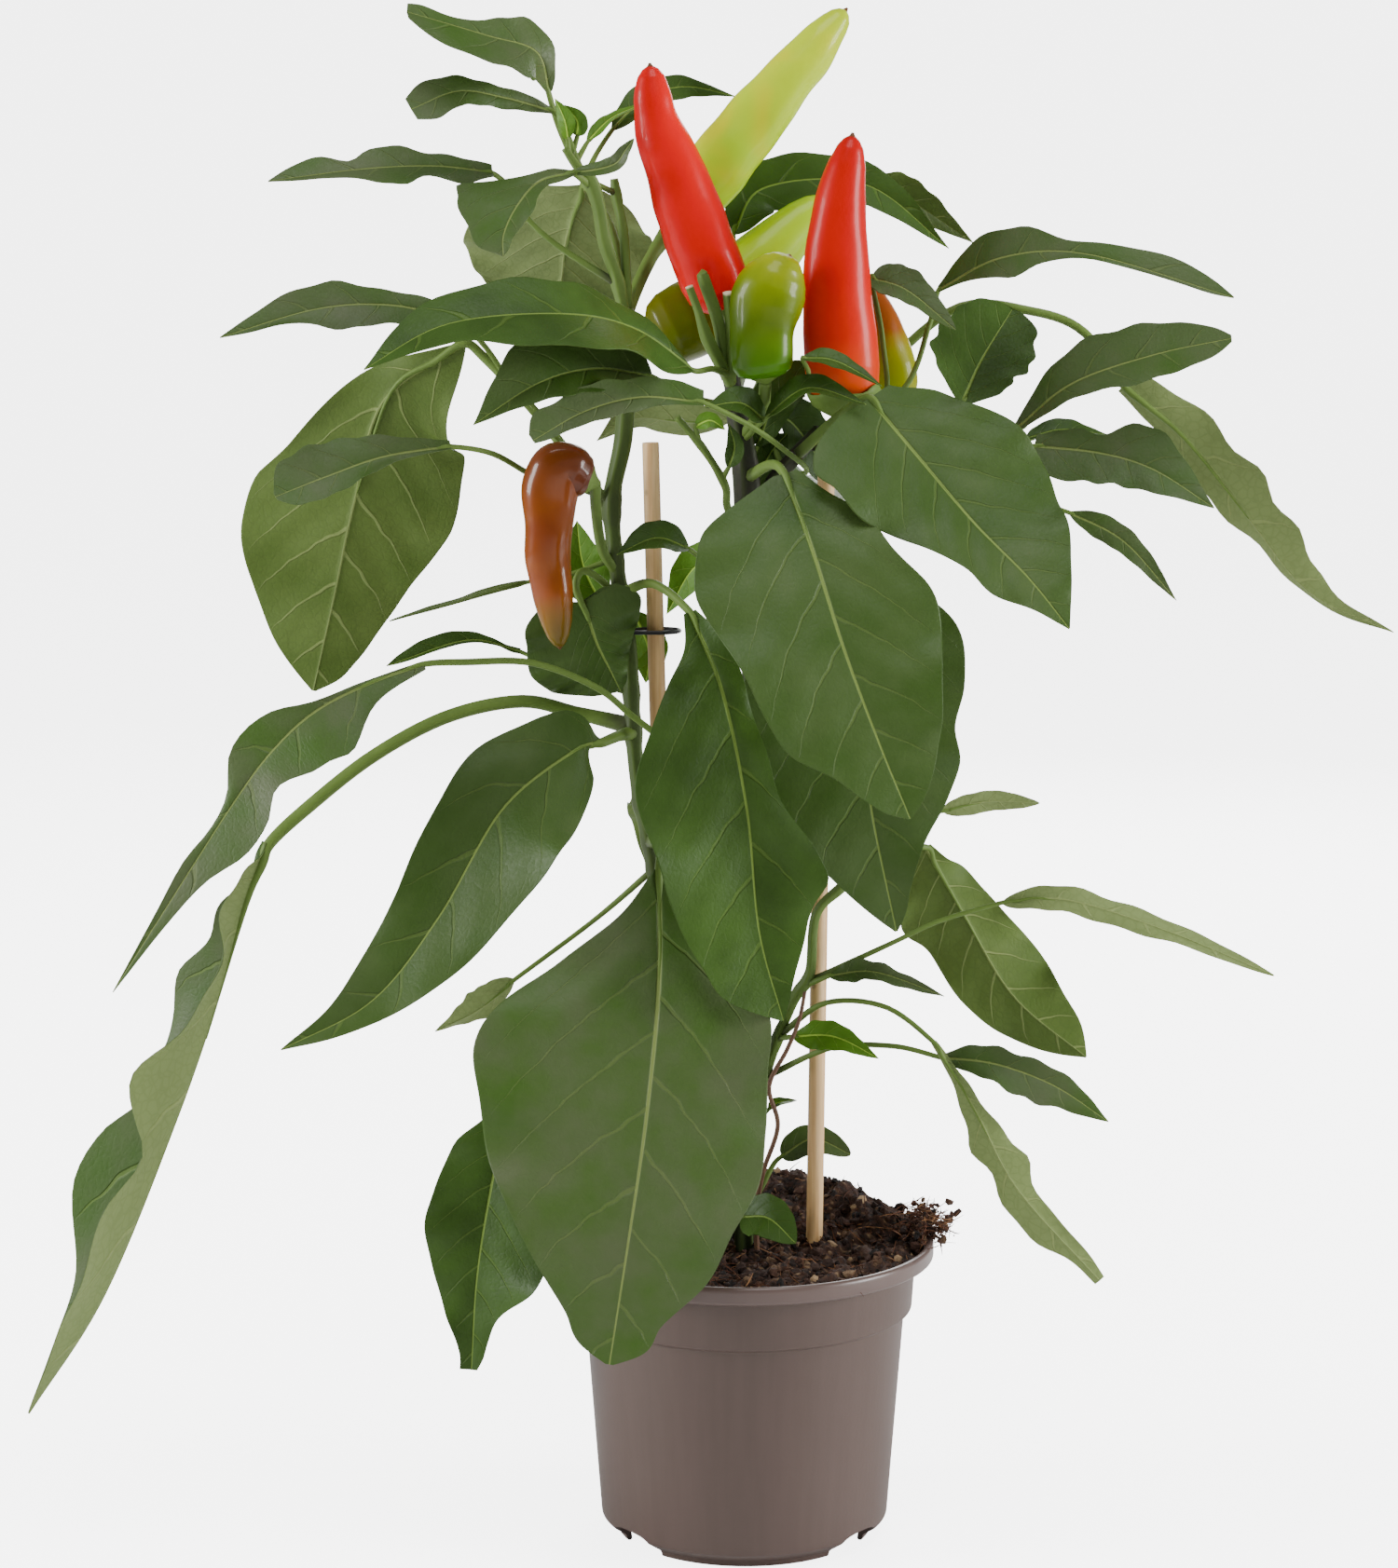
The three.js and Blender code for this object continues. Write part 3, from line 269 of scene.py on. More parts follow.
         (-16, 112, 181)],
         (22, 22), (-0.1, -0.3, 1)),
    Leaf("main", 393, [(-46, 34, 398)], [(-49, 44, 400), (-58, 70, 406), (-66, 98, 403),
         (-70, 120, 394)],
         (18, 18), (0, -0.3, 1)),
]
LEAVES_CENTRE = [
    Leaf("main", 262, [(-20, -7, 272), (-37, -8, 284), (-50, -12, 295), (-71, -18, 304),
         (-93, -24, 305)], [(-106, -28, 305), (-124, -33, 299), (-142, -38, 290), (-156, -40, 277),
         (-168, -42, 261), (-183, -46, 238), (-208, -54, 199)],
         (20, 12.5), (-0.2, -1, 0.4), fold=(8, 8), tone=DULL,
         edge=[(0, 2, 1), (0.17, 7.5, 1.5), (0.33, 20, 3.5), (0.42, 17, 9), (0.5, 13, 12.5),
         (0.58, 11, 10), (0.67, 14.5, 3.5), (0.75, 15, 2), (0.83, 7, 3.5), (0.9, 3.5, 2),
         (1, 0, 0)]),
    Leaf("main", 398, [(-11, -12, 401)], [(-17, -20, 401), (-37, -30, 415), (-61, -44, 420),
         (-96, -56, 417), (-122, -66, 403)],
         (20, 15), (-0.1, -0.7, 0.9), fold=(5, 12), widest=(0.4, 0.55)),
    Leaf("main", 387, [(-19, -16, 392)], [(-31, -22, 399), (-49, -34, 402), (-67, -46, 398),
         (-88, -56, 385)],
         (10, 20), (0, -1, 0.5), tone=RIPE),
    Leaf("fork", 364, [(20, -8, 367), (12, -20, 375), (1, -26, 383)], [(-14, -32, 391),
         (-34, -38, 393), (-52, -46, 389), (-69, -56, 380)],
         (4.5, 8), (0.1, -1, 0.4), fold=(5, 5), tone=DULL,
         edge=[(0, 1, 4), (0.2, 2.5, 6.5), (0.4, 4.5, 7), (0.6, 4.5, 8), (0.8, 3.5, 7),
         (0.95, 2, 6), (1, 1, 2)]),
    Leaf("main", 364, [(8, -20, 370)], [(12, -30, 368), (21, -46, 344), (31, -60, 313),
         (42, -68, 284), (52, -72, 260)],
         (32.5, 41.5), (0.1, -1, 0.3), fold=(6, 6), tone=RIPE,
         edge=[(0, 4, 3), (0.1, 11.5, 28), (0.2, 21, 38), (0.3, 24.5, 41.5), (0.4, 32, 37.5),
         (0.5, 32.5, 35), (0.6, 29, 32.5), (0.7, 24, 28), (0.8, 18.5, 18), (0.9, 12, 11),
         (0.96, 6, 6), (1, 0, 0)]),
    Leaf("main", 356, [(25, -8, 347)], [(32, -12, 338), (37, -20, 302), (41, -26, 259),
         (50, -30, 215)],
         (36, 38), (0, -1, 0.2), fold=(6, 6), tone=RIPE,
         edge=[(0, 3, 3), (0.1, 18, 20), (0.2, 31, 33), (0.3, 36, 38), (0.4, 35, 38),
         (0.5, 30, 38), (0.6, 31, 38), (0.7, 25.5, 33), (0.8, 15, 21), (0.9, 7.5, 11.5),
         (0.96, 4, 5), (1, 0, 0)]),
    Leaf("main", 324, [(-8, 0, 332)], [(-19, -6, 341), (-30, -12, 345), (-43, -18, 340)],
         (6, 7), (0, -0.7, 0.7), wave=1),
    Leaf("main", 336, [(-1, 14, 339)], [(-6, 24, 338), (-18, 34, 330), (-27, 38, 314)],
         (7, 7), (0, -1, 0.4), wave=1, tone=YOUNG),
    Leaf("main", 390, [(0, 34, 401), (-1, 56, 419)], [(-4, 58, 444), (7, 62, 460), (42, 62, 461),
         (71, 56, 439)],
         (10, 12), (0, -1, 0.5)),
    Leaf("main", 384, [(6, 36, 398), (10, 62, 425), (22, 68, 448)], [(41, 69, 463), (59, 71, 455),
         (80, 70, 441)],
         (9, 8), (0, 0.6, 0.7)),
    Leaf("main", 378, [], [(6, -12, 384), (-2, -18, 390), (-14, -24, 389)],
         (5, 6), (0, -0.8, 0.5), wave=1),
    Leaf("main", 376, [], [(6, -14, 385), (20, -20, 395), (39, -26, 390)],
         (6, 5), (0, -0.6, 0.8), wave=1),
    Leaf("main", 386, [(10, -8, 390), (20, -13, 398)], [(18, -21, 405), (29, -23, 404),
         (44, -28, 396)],
         (4, 4), (0, -0.6, 0.8), wave=1),
    Leaf("main", 374, [], [(-5, 26, 382), (-21, 32, 381), (-38, 36, 382), (-51, 38, 374)],
         (8, 8), (0, 0.8, 0.6), wave=1, tone=PALE),
    Leaf("fork", 378, [(46, 16, 386), (46, 17, 410)], [(42, 17, 430), (54, 12, 426), (70, 6, 413)],
         (8, 7), (0, -0.7, 0.7), widest=(0.3, 0.3), blunt=0.8, wave=1.5, tone=DULL),
    Leaf("fork", 371, [(30, -12, 385)], [(40, -18, 392), (56, -26, 373), (74, -36, 352),
         (91, -46, 335), (104, -52, 319)],
         (35, 33), (0.3, -1, 0.5), fold=(4, 4), tone=RIPE,
         edge=[(0, 8, 12), (0.02, 10, 20), (0.1, 21, 33), (0.2, 25.5, 33), (0.3, 33, 33),
         (0.4, 35, 25), (0.5, 32, 20), (0.6, 28, 15.5), (0.7, 22.5, 14.5), (0.8, 14, 9),
         (0.9, 7.5, 4.5), (1, 0, 0)]),
    Leaf("fork", 378, [(51, 24, 380)], [(74, 28, 388), (81, 36, 402), (92, 44, 419)],
         (18, 17), (0, -1, 0.5),
         edge=[(0, 3, 3), (0.2, 12, 12), (0.4, 18, 14), (0.6, 18, 17), (0.8, 15, 14), (0.95, 9, 9),
         (1, 3, 3)]),
    Leaf("fork", 378, [(52, 12, 392), (62, 18, 415)], [(65, 22, 426), (86, 12, 437), (114, 2, 438),
         (161, -10, 424)],
         (10, 8), (0, -1, 0.5), fold=(6, 6), tone=DULL,
         edge=[(0, 1, 1), (0.1, 5, 2), (0.2, 8, 4), (0.35, 10, 8), (0.5, 7, 5), (0.6, 4, 3),
         (0.75, 6, 1.5), (0.88, 6.5, 1), (0.95, 3.5, 1), (1, 0, 0)]),
    Leaf("fork", 377, [(63, 22, 373)], [(91, 18, 379), (109, 8, 395), (135, -2, 405),
         (160, -12, 411)],
         (12, 8.5), (0, -1, 0.5), fold=(6, 6), tone=DULL,
         edge=[(0, 1, 1), (0.2, 6, 4), (0.4, 12, 6), (0.6, 12, 8.5), (0.8, 8.5, 8), (0.95, 4, 4),
         (1, 1, 1)]),
    Leaf("fork", 376, [(69, 16, 367)], [(97, 12, 374), (119, 4, 372), (136, -4, 367),
         (155, -14, 355)],
         (14, 12), (0, -1, 0.5), fold=(6, 6), tone=DULL,
         edge=[(0, 4, 6), (0.1, 6, 11), (0.2, 7.5, 12), (0.3, 6, 12), (0.4, 10, 11.5),
         (0.55, 14, 10), (0.65, 12, 9), (0.8, 7, 6), (0.9, 3.5, 3), (1, 0, 0)]),
    Leaf("fork", 378, [(36, 32, 378), (46, 47, 396), (73, 50, 419), (99, 50, 418), (117, 50, 411)],
         [(131, 50, 393), (156, 48, 371), (176, 42, 345), (195, 34, 322), (223, 26, 309)],
         (9, 12.5), (0.3, 0.9, 0.4), wave=5, stalk_radius=1.7, tone=PALE,
         edge=[(0, 4, 7), (0.2, 7.5, 10), (0.3, 8.5, 11.5), (0.4, 9, 12.5), (0.5, 6.5, 12),
         (0.6, 4, 10.5), (0.7, 3, 8), (0.8, 2, 4), (0.9, 1.5, 2), (1, 0, 0)]),
    Leaf("fork", 374, [(80, 30, 360)], [(111, 32, 350), (130, 30, 340), (148, 26, 320)],
         (5, 4.5), (0.1, -1, 0.4), fold=(2, 2), wave=1.5, tone=DULL),
    Leaf("fork", 377, [(64, 32, 371)], [(96, 34, 375), (109, 36, 378), (125, 38, 376)],
         (5, 5), (0, -0.5, 0.8), wave=1),
    Leaf("main", 244, [(42, 26, 244)], [(69, 34, 246), (85, 36, 249), (103, 38, 248)],
         (4.5, 4), (0, 0.9, 0.3), fold=(6, 6), blunt=0.75, wave=1, tone=PALE),
    Leaf("main", 356, [], [(3, 9, 360), (8, 12, 371), (14, 14, 378)],
         (6, 6), (0, -1, 0.2), wave=1, blunt=0.8),
    Leaf("budding", 364, [], [(-6, -8, 368), (-4, -9, 375), (-6, -9, 383)],
         (3, 3.5), (0, -1, 0.2), wave=0.6),
    Leaf("budding", 376, [], [(-17, -11, 382), (-12, -13, 384), (-7, -14, 381)],
         (3, 3), (0, -1, 0.4), wave=0.6, tone=YOUNG),
    Leaf("main", 305, [(10, 28, 306)], [(17, 44, 300), (27, 72, 284), (35, 100, 259),
         (41, 118, 229)],
         (24, 24), (0.1, -0.3, 1)),
    Leaf("main", 361, [(9, 30, 356)], [(16, 44, 351), (34, 74, 351), (52, 104, 348),
         (66, 124, 338)],
         (20, 20), (0.1, -0.3, 1)),
    Leaf("fork", 366, [(10, 14, 374)], [(12, 16, 384), (17, 20, 380), (24, 24, 370),
         (30, 26, 358)],
         (10, 9), (0.3, -1, 0.3), wave=1, blunt=0.8),
    Leaf("main", 368, [], [(4, 12, 374), (10, 14, 390), (18, 18, 396), (28, 20, 394)],
         (8, 8), (0, -1, 0.3), wave=1, blunt=0.8),
]
LEAVES_BASAL = [
    Leaf("main", 225, [(48, 8, 234)], [(62, 18, 236), (76, 26, 211), (94, 30, 181),
         (120, 30, 159)],
         (22, 17.5), (-0.2, 1, 0.2), tone=DEEP,
         edge=[(0, 3, 2), (0.1, 12, 5), (0.2, 18, 9), (0.3, 22, 11), (0.4, 18, 13),
         (0.6, 16, 17.5), (0.8, 11, 13), (0.93, 5, 7), (1, 0, 0)]),
    Leaf("main", 192, [(50, -10, 208), (65, -14, 216)], [(86, -18, 223), (107, -24, 225),
         (139, -30, 216), (175, -38, 202)],
         (4.2, 5), (0, 0.9, -0.5), fold=(6, 6), blunt=0.75, wave=3.5, tone=PALE),
    Leaf("main", 191, [], [(28, -8, 196), (44, -12, 198), (67, -18, 191)],
         (4, 4.5), (0, -0.8, 0.7), wave=3, tone=DULL),
    Leaf("main", 173, [(27, -10, 187), (47, -16, 187)], [(63, -20, 176), (77, -26, 154),
         (91, -32, 128), (119, -36, 97)],
         (8.5, 8), (0.5, 0.7, -0.5), wave=4, tone=PALE,
         edge=[(0, 1, 1), (0.2, 2.5, 2.5), (0.4, 6.5, 4), (0.5, 8.5, 6), (0.6, 6, 8), (0.7, 8, 5),
         (0.8, 8, 4), (0.9, 3, 4), (1, 2, 2)]),
    Leaf("main", 158, [(29, -8, 171), (50, -14, 173)], [(66, -18, 170), (84, -24, 169),
         (103, -30, 163), (121, -36, 152)],
         (6, 8.5), (0, -1, 0.5), fold=(6, 6), wave=3, tone=DULL,
         edge=[(0, 1, 1), (0.15, 5, 4), (0.3, 6, 6), (0.45, 5, 8), (0.6, 5.5, 8.5), (0.8, 4, 5),
         (0.93, 1.5, 2), (1, 0, 0)]),
    Leaf("main", 172, [], [(16, -8, 175), (30, -13, 176), (45, -20, 170)],
         (5, 6), (0, -0.8, 0.5), wave=2, tone=YOUNG),
    Leaf("main", 142, [], [(8, 4, 147), (12, 5, 149), (18, 8, 149)],
         (2.5, 2.5), (0, -0.4, 1), wave=0.4, tone=YOUNG),
    Leaf("main", 114, [(10, 16, 124)], [(13, 17, 127), (24, 17, 133), (37, 15, 128)],
         (5.5, 6), (0, -0.7, 0.6), blunt=0.6, wave=0.8, tone=DULL),
]

# Stubs whose end is a pale dry cut
CUT_STUBS = ("stub_left", "stub_right")

# A pod stalk's point list starts at its stem, and a pod's path starts at its blunt end
PODS_LEFT = [
    Pod("pod_lime_back", "pod_lime", "main", 417, [(-36, 22, 428), (-31, 33, 438)],
        [(-23, 38, 449), (-9, 40, 467), (6, 42, 486), (23, 44, 506), (34, 46, 519.6)], 11.6,
        [(0, "#80ae00"), (0.3, "#96bc00"), (0.7, "#acc200"), (1, "#a6ba00")], ("#c4b800", 0.6),
        profile=[(0, 0.3), (0.015, 0.5), (0.05, 0.72), (0.12, 0.88), (0.25, 0.95), (0.4, 0.9),
        (0.55, 0.83), (0.7, 0.72), (0.82, 0.58), (0.91, 0.45), (0.96, 0.34), (0.988, 0.2),
        (1, 0.08)]),
    Pod("pod_olive_back", "pod_olive", "main", 412, [(-41, 24, 407)], [(-32, 36, 409.5),
        (-12, 40, 419), (8, 44, 437.5), (27, 48, 456)], 13.4,
        [(0, "#4c5600"), (0.35, "#5f6c02"), (0.6, "#8cac00"), (1, "#9cc000")], ("#6c4c08", 0.35),
        cup=0.5),
    Pod("pod_brown", "pod_brown", "main", 331, [(-48, 0, 340), (-50, -4, 353)], [(-52, -12, 364),
        (-62, -15, 368), (-66, -16, 354), (-65, -16, 332), (-62, -16, 309)], 9.2,
        [(0, "#4c2410"), (0.2, "#5f2d0e"), (0.45, "#7a3a06"), (0.8, "#864200"), (0.92, "#6e5200"),
        (1, "#545600")], ("#641c06", 0.45), dimples=0.6, cup=0.7, wax=0.35,
        profile=[(0, 0.3), (0.02, 0.56), (0.06, 0.8), (0.14, 0.95), (0.3, 0.98), (0.5, 0.93),
        (0.68, 0.82), (0.82, 0.66), (0.91, 0.5), (0.96, 0.35), (0.988, 0.2), (1, 0.08)]),
]
PODS_CENTRE = [
    Pod("pod_red_left", "pod_red", "main", 406, [(-6, 8, 412)], [(-7, 12, 420), (-15, 12, 441),
        (-23, 12, 464), (-30, 12, 483), (-32, 12, 500)], 12.2,
        [(0, "#cc0400"), (0.3, "#cc0000"), (0.7, "#cc0000"), (1, "#c00000")], ("#d00600", 0.4),
        cup=0.55, wax=0.1,
        profile=[(0, 0.45), (0.02, 0.66), (0.06, 0.84), (0.12, 0.93), (0.2, 0.96), (0.42, 0.88),
        (0.63, 0.74), (0.84, 0.53), (0.95, 0.36), (0.985, 0.22), (1, 0.08)]),
    Pod("pod_red_right", "pod_red", "fork", 376, [(31, 8, 379)], [(33, 4, 387), (32, 4, 405),
        (30, 4, 430), (31, 4, 454), (35, 4, 477)], 12.6,
        [(0, "#a85000"), (0.14, "#c43c00"), (0.3, "#c01e00"), (0.5, "#ba0800"), (1, "#b00000")],
        ("#c01800", 0.35), wax=0.08,
        profile=[(0, 0.3), (0.015, 0.55), (0.04, 0.78), (0.1, 0.94), (0.2, 1), (0.33, 0.97),
        (0.45, 0.9), (0.63, 0.8), (0.76, 0.69), (0.9, 0.5), (0.96, 0.35), (0.988, 0.2),
        (1, 0.08)]),
    Pod("pod_green_stubby", "pod_green", "main", 377, [(5, -9, 387)], [(6, -14, 398),
        (5, -14, 406), (5.5, -14, 417), (9, -14, 428), (14, -14, 438)], 11,
        [(0, "#448400"), (0.2, "#446c00"), (0.5, "#4a5e00"), (0.72, "#6c7c00"), (1, "#98a000")],
        ("#2c4400", 0.6), lobes=0.07, dimples=0.55, cup=0.6,
        profile=[(0, 0.4), (0.02, 0.6), (0.06, 0.8), (0.14, 0.9), (0.25, 0.92), (0.38, 0.95),
        (0.5, 1.01), (0.62, 1.06), (0.74, 1.02), (0.84, 0.9), (0.92, 0.7), (0.97, 0.47),
        (0.99, 0.3), (1, 0.1)]),
    Pod("pod_orange_back", "pod_orange", "fork", 378, [(40, 26, 377)], [(49, 32, 387),
        (48, 32, 399), (44, 32, 415), (40, 32, 429)], 10.5,
        [(0, "#7e9400"), (0.45, "#808000"), (0.62, "#8c4804"), (1, "#7e3008")], ("#908400", 0.4)),
]

# The pot's profile from the middle of its underside, round the outside and back along the inside:
# radius and height
POT_PROFILE = [
    (6, 0), (12, 0), (12.6, 8), (47.4, 8), (47.2, 6.4), (42.4, 2.8), (42, 0), (44, 0),
    (44.4, 2.2), (49.5, 5.6), (55, 78.4), (57.6, 79.3), (58.7, 95.8), (63.6, 96.6), (65, 97.4),
    (65, 102), (64.2, 103), (62.9, 103), (62.2, 102), (62, 98.4), (57.4, 97.4), (56.2, 80.6),
    (53.6, 79.8), (48.1, 9.5), (6, 9.5),
]
POT_SIDES = 160

# Edges of the pot and the canes that turn by more than this many degrees stay sharp
POT_SHARP = 38
CANE_SHARP = 40

# The round drains in the floor: their places round the pot, their radius, the circle that they lie
# on, and the heights that they are cut between
DRAIN_ANGLES = [22.5 + 45 * step for step in range(8)]
DRAIN_RADIUS = 3
DRAIN_CIRCLE = 30
DRAIN_HEIGHTS = (4, 14)

# A turned cutter starts this far from its axis, so that no two of its points fall together
AXIS_GAP = 0.001

# The arched notches in the foot ring: their places, their half width, the heights of the cut's
# lower end and of the arch's spring, its rise and its power, and the radii of the cut's two ends
NOTCH_ANGLES = [37, 143, 217, 323]
NOTCH_HALF = 10
NOTCH_FOOT = -3
NOTCH_SPRING = 1
NOTCH_RISE = 6.8
NOTCH_POWER = 0.35
NOTCH_REACH = (38, 52)

# The hanger slots under the lip
SLOT_ANGLES = [12, 132, 252]
SLOT_HALF = 7.5
SLOT_HEIGHTS = (93, 101)
SLOT_REACH = (59.3, 61.5)

# Each stake's middle at its foot and at its top
STAKES = {
    "stake_left": ((-23.2, 8.5), (-32, 6)),
    "stake_right": ((23.4, 5), (27, 5)),
}
STAKE_RADIUS = 3
STAKE_FOOT = 28
STAKE_TOP = 375
SAWN_BEVEL = 0.4

# How far a stem that starts below IN_PEAT goes on down
ROOT_DEPTH = 26
IN_PEAT = 120

# How dark with age the stems are that are neither a main stem nor the fork
YOUNG_AGE = 0.25

# The peat: its level, its radius, and its skin's way down the pot's wall and in under it
SOIL_LEVEL = 98
PEAT_RADIUS = 62
PEAT_SIDES = 220
PEAT_WALL = [(61.5, 99.0), (56.8, 97.8), (55.7, 81.2), (53, 80.2), (47.6, 10), (20, 9.9), (1, 9.9)]

# The heap: its rise towards the back and towards the right, and the y that it starts from
HEAP_BACK = 16
HEAP_RIGHT = 4
HEAP_START = -8

# The clump of loose peat over the right of the lip: its centre and its spread, and its number of
# crumbs and of fibres
CLUMP = ((61.5, 2, 107), (4, 6.5, 3))
CLUMP_PIECES = 260

# Smallest and largest crumb, and shortest and longest fibre, on the peat and in the clump
CRUMB_SIZES = (0.5, 2.6)
CLUMP_CRUMB_SIZES = (0.5, 2.1)
FIBRE_LENGTHS = (4, 15)
CLUMP_FIBRE_LENGTHS = (4, 12)
FIBRE_RINGS = 6

# A crumb starts as a ball with twelve corners and twenty faces
GOLDEN = (1 + 5**0.5) / 2
BALL_RADIUS = 1.9
BALL_CORNERS = [
    (-1, GOLDEN, 0), (1, GOLDEN, 0), (-1, -GOLDEN, 0), (1, -GOLDEN, 0),
    (0, -1, GOLDEN), (0, 1, GOLDEN), (0, -1, -GOLDEN), (0, 1, -GOLDEN),
    (GOLDEN, 0, -1), (GOLDEN, 0, 1), (-GOLDEN, 0, -1), (-GOLDEN, 0, 1),
]
BALL_FACES = [
    (0, 11, 5), (0, 5, 1), (0, 1, 7), (0, 7, 10), (0, 10, 11), (1, 5, 9), (5, 11, 4), (11, 10, 2),
    (10, 7, 6), (7, 1, 8), (3, 9, 4), (3, 4, 2), (3, 2, 6), (3, 6, 8), (3, 8, 9), (4, 9, 5),
    (2, 4, 11), (6, 2, 10), (8, 6, 7), (9, 8, 1),
]

# The wire tie: its height, the wire's radius, its slack at the stake, the stem's radius there, and
# how far the wire's middle stays off the stem and the stake
TIE_HEIGHT = 312
TIE_WIRE = 0.7
TIE_SLACK = 2
TIE_STEM_RADIUS = 2.5
TIE_CLEAR = 1.15

STRAND = [
    (5, -3, 82, 0.9), (4, -4, 110, 0.9), (6, -8, 127, 0.85), (11, -13, 145, 0.8),
    (8, -14, 159, 0.8), (14, -15, 172, 0.75), (18, -15, 182, 0.7), (20, -15, 192, 0.6),
]

# The camera: where it stands, its pitch below the horizon, its lens and its sensor's height,
# worked out from the pot's rim and foot
CAMERA_MM = (-15.74, -1300, 460)
CAMERA_PITCH = 8.722
CAMERA_LENS = 89.23
CAMERA_SENSOR = 36

# How bright the pale surroundings are for the plant, and how bright they look
AMBIENT = 0.32
BACKDROP = 5
WHITE = (1, 1, 1, 1)
FLOOR_HALF = 6

# Each lamp's name, place and width in metres, and the setting that holds its power
LAMPS = [
    ("key_light", (-1.9, -0.4, 0.8), 0.8, "key"),
    ("fill_light", (1.9, -0.4, 0.65), 0.8, "fill"),
    ("top_light", (0.1, -0.6, 1.9), 0.9, "top"),
    ("back_light", (0.3, 1.5, 0.9), 1, "top"),
]
LAMP_TARGET = (0, 0, 0.26)

# Settings of a Mix node that mixes colours
RGBA = {"out": 2, "data_type": "RGBA"}

# Steps of a fine curve, and the least length that a vector is divided by
FINE_STEPS = 400
SMALL = 1e-9

# Rows along the rib, and columns from the rib to the margin, of broad and of narrow blades
BROAD_GRID = (88, 16)
NARROW_GRID = (46, 9)

# How softly a blade's fold is rounded at its rib
RIB_ROUNDING = 0.004

# A pod's rings and sides, and the dry point past its end: shares of the path and of the radius
POD_ROWS = 90
POD_SIDES = 56
POD_POINT = [(1.006, 0.05), (1.012, 0.035)]

# The calyx from its stalk out over the pod's blunt end and back inside, as shares of the pod's
# path and of its radius, and the share where its rim is
CUP_SECTION = [
    (-0.05, 0.2), (-0.03, 0.34), (-0.005, 0.66), (0.02, 0.86), (0.055, 0.98), (0.085, 1.04),
    (0.088, 1.01), (0.06, 0.95), (0.02, 0.8), (0.0, 0.5),
]
CUP_RIM = 0.085


# Curves and skins


def spline(points, count):
    """A smooth curve through the points: uniform Catmull-Rom, whose tangent at a point is half the
    step between its neighbours. Returns count places along it, evenly spread over the spans, and
    the unit tangents."""
    p = np.asarray(points, float)
    p = np.vstack([2 * p[0] - p[1], p, 2 * p[-1] - p[-2]])
    place = np.linspace(0, len(points) - 1, count)
    span = np.minimum(place.astype(int), len(points) - 2)
    u = (place - span)[:, None]
    a, b, c, d = (p[span + k] for k in range(4))
    square = 2 * a - 5 * b + 4 * c - d
    cube = 3 * b - a - 3 * c + d
    curve = 0.5 * (2 * b + (c - a) * u + square * u**2 + cube * u**3)
    slope = 0.5 * ((c - a) + 2 * square * u + 3 * cube * u**2)
    return curve, unit(slope)


def fine_curve(points):
    """The smooth curve through the points in many steps, with its tangents and its length."""
    places, tangents = spline(points, FINE_STEPS)
    return places, tangents, np.linalg.norm(np.diff(places, axis=0), axis=1).sum()


def at_shares(rows, share):
    """Rows of values along a curve, read at shares of it, straight between the rows."""
    even = np.linspace(0, 1, len(rows))
    return np.stack([np.interp(share, even, column) for column in rows.T], axis=-1)


def unit(vectors):
    """Each vector divided by its length."""
    return vectors / np.maximum(np.linalg.norm(vectors, axis=-1, keepdims=True), SMALL)


def frames(tangents, up):
    """Two unit vectors square to each tangent. The first starts near `up` and then turns as little
    as it can: each is the one before it, with its part along the new tangent taken away."""
    ups = np.empty_like(tangents)
    current = np.asarray(up, float)
    for place, along in enumerate(tangents):
        current = current - along * np.dot(along, current)
        current = current / max(np.linalg.norm(current), SMALL)
        ups[place] = current
    return ups, np.cross(tangents, ups)


def round_turns(sides):
    """Even turns round a ring, in radians."""
    return np.linspace(0, 2 * np.pi, sides, endpoint=False)


def ring_steps(turn, sideways, ups):
    """The steps from a ring's middle to its points: cos(turn) * sideways + sin(turn) * up."""
    return np.cos(turn)[:, None] * sideways[:, None] + np.sin(turn)[:, None] * ups[:, None]


def tube(points, sides, rings, up=(0, 1, 0), section=None):
    """A round tube along a smooth curve: point = middle + radius * (cos(turn) * sideways +
    sin(turn) * up), with the radius straight between the points' fourth values.
    section(share, turn) gives a factor on it, with share from 0 at the first point to 1 at the
    last. Returns the points, and the share and the turn of each."""
    points = np.asarray(points, float)
    places, tangents = spline(points[:, :3], rings)
    at_points = np.arange(len(points))
    radius = np.interp(np.linspace(0, len(points) - 1, rings), at_points, points[:, 3])
    ups, sideways = frames(tangents, up)
    turn = round_turns(sides)
    share = np.linspace(0, 1, rings)[:, None]
    reach = radius[:, None] * (section(share, turn) if section else np.ones(sides))
    grid = places[:, None] + reach[..., None] * ring_steps(turn, sideways, ups)
    return grid, share * np.ones(sides), turn * np.ones((rings, 1))


def skin_faces(rings, sides):
    """Quads between neighbouring rings of points, and a fan of triangles to a middle point at each
    end. The two middle points come after the rings."""
    index = np.arange(rings * sides).reshape(rings, sides)
    after = np.roll(index, -1, axis=1)
    corners = [index[:-1], after[:-1], after[1:], index[1:]]
    quads = np.stack(corners, axis=-1).reshape(-1, 4)
    first, last = rings * sides, rings * sides + 1
    low = np.stack([np.full(sides, first), after[0], index[0]], axis=-1)
    high = np.stack([np.full(sides, last), index[-1], after[-1]], axis=-1)
    return quads, np.vstack([low, high])


def signed_volume(points, quads, triangles):
    """The volume inside a closed skin: the sum over its triangles of a . (b x c) / 6, below 0 if
    it is inside out."""
    corners = np.vstack([quads[:, [0, 1, 2]], quads[:, [0, 2, 3]], triangles])
    a, b, c = points[corners[:, 0]], points[corners[:, 1]], points[corners[:, 2]]
    return np.einsum("ij,ij->", a, np.cross(b, c)) / 6


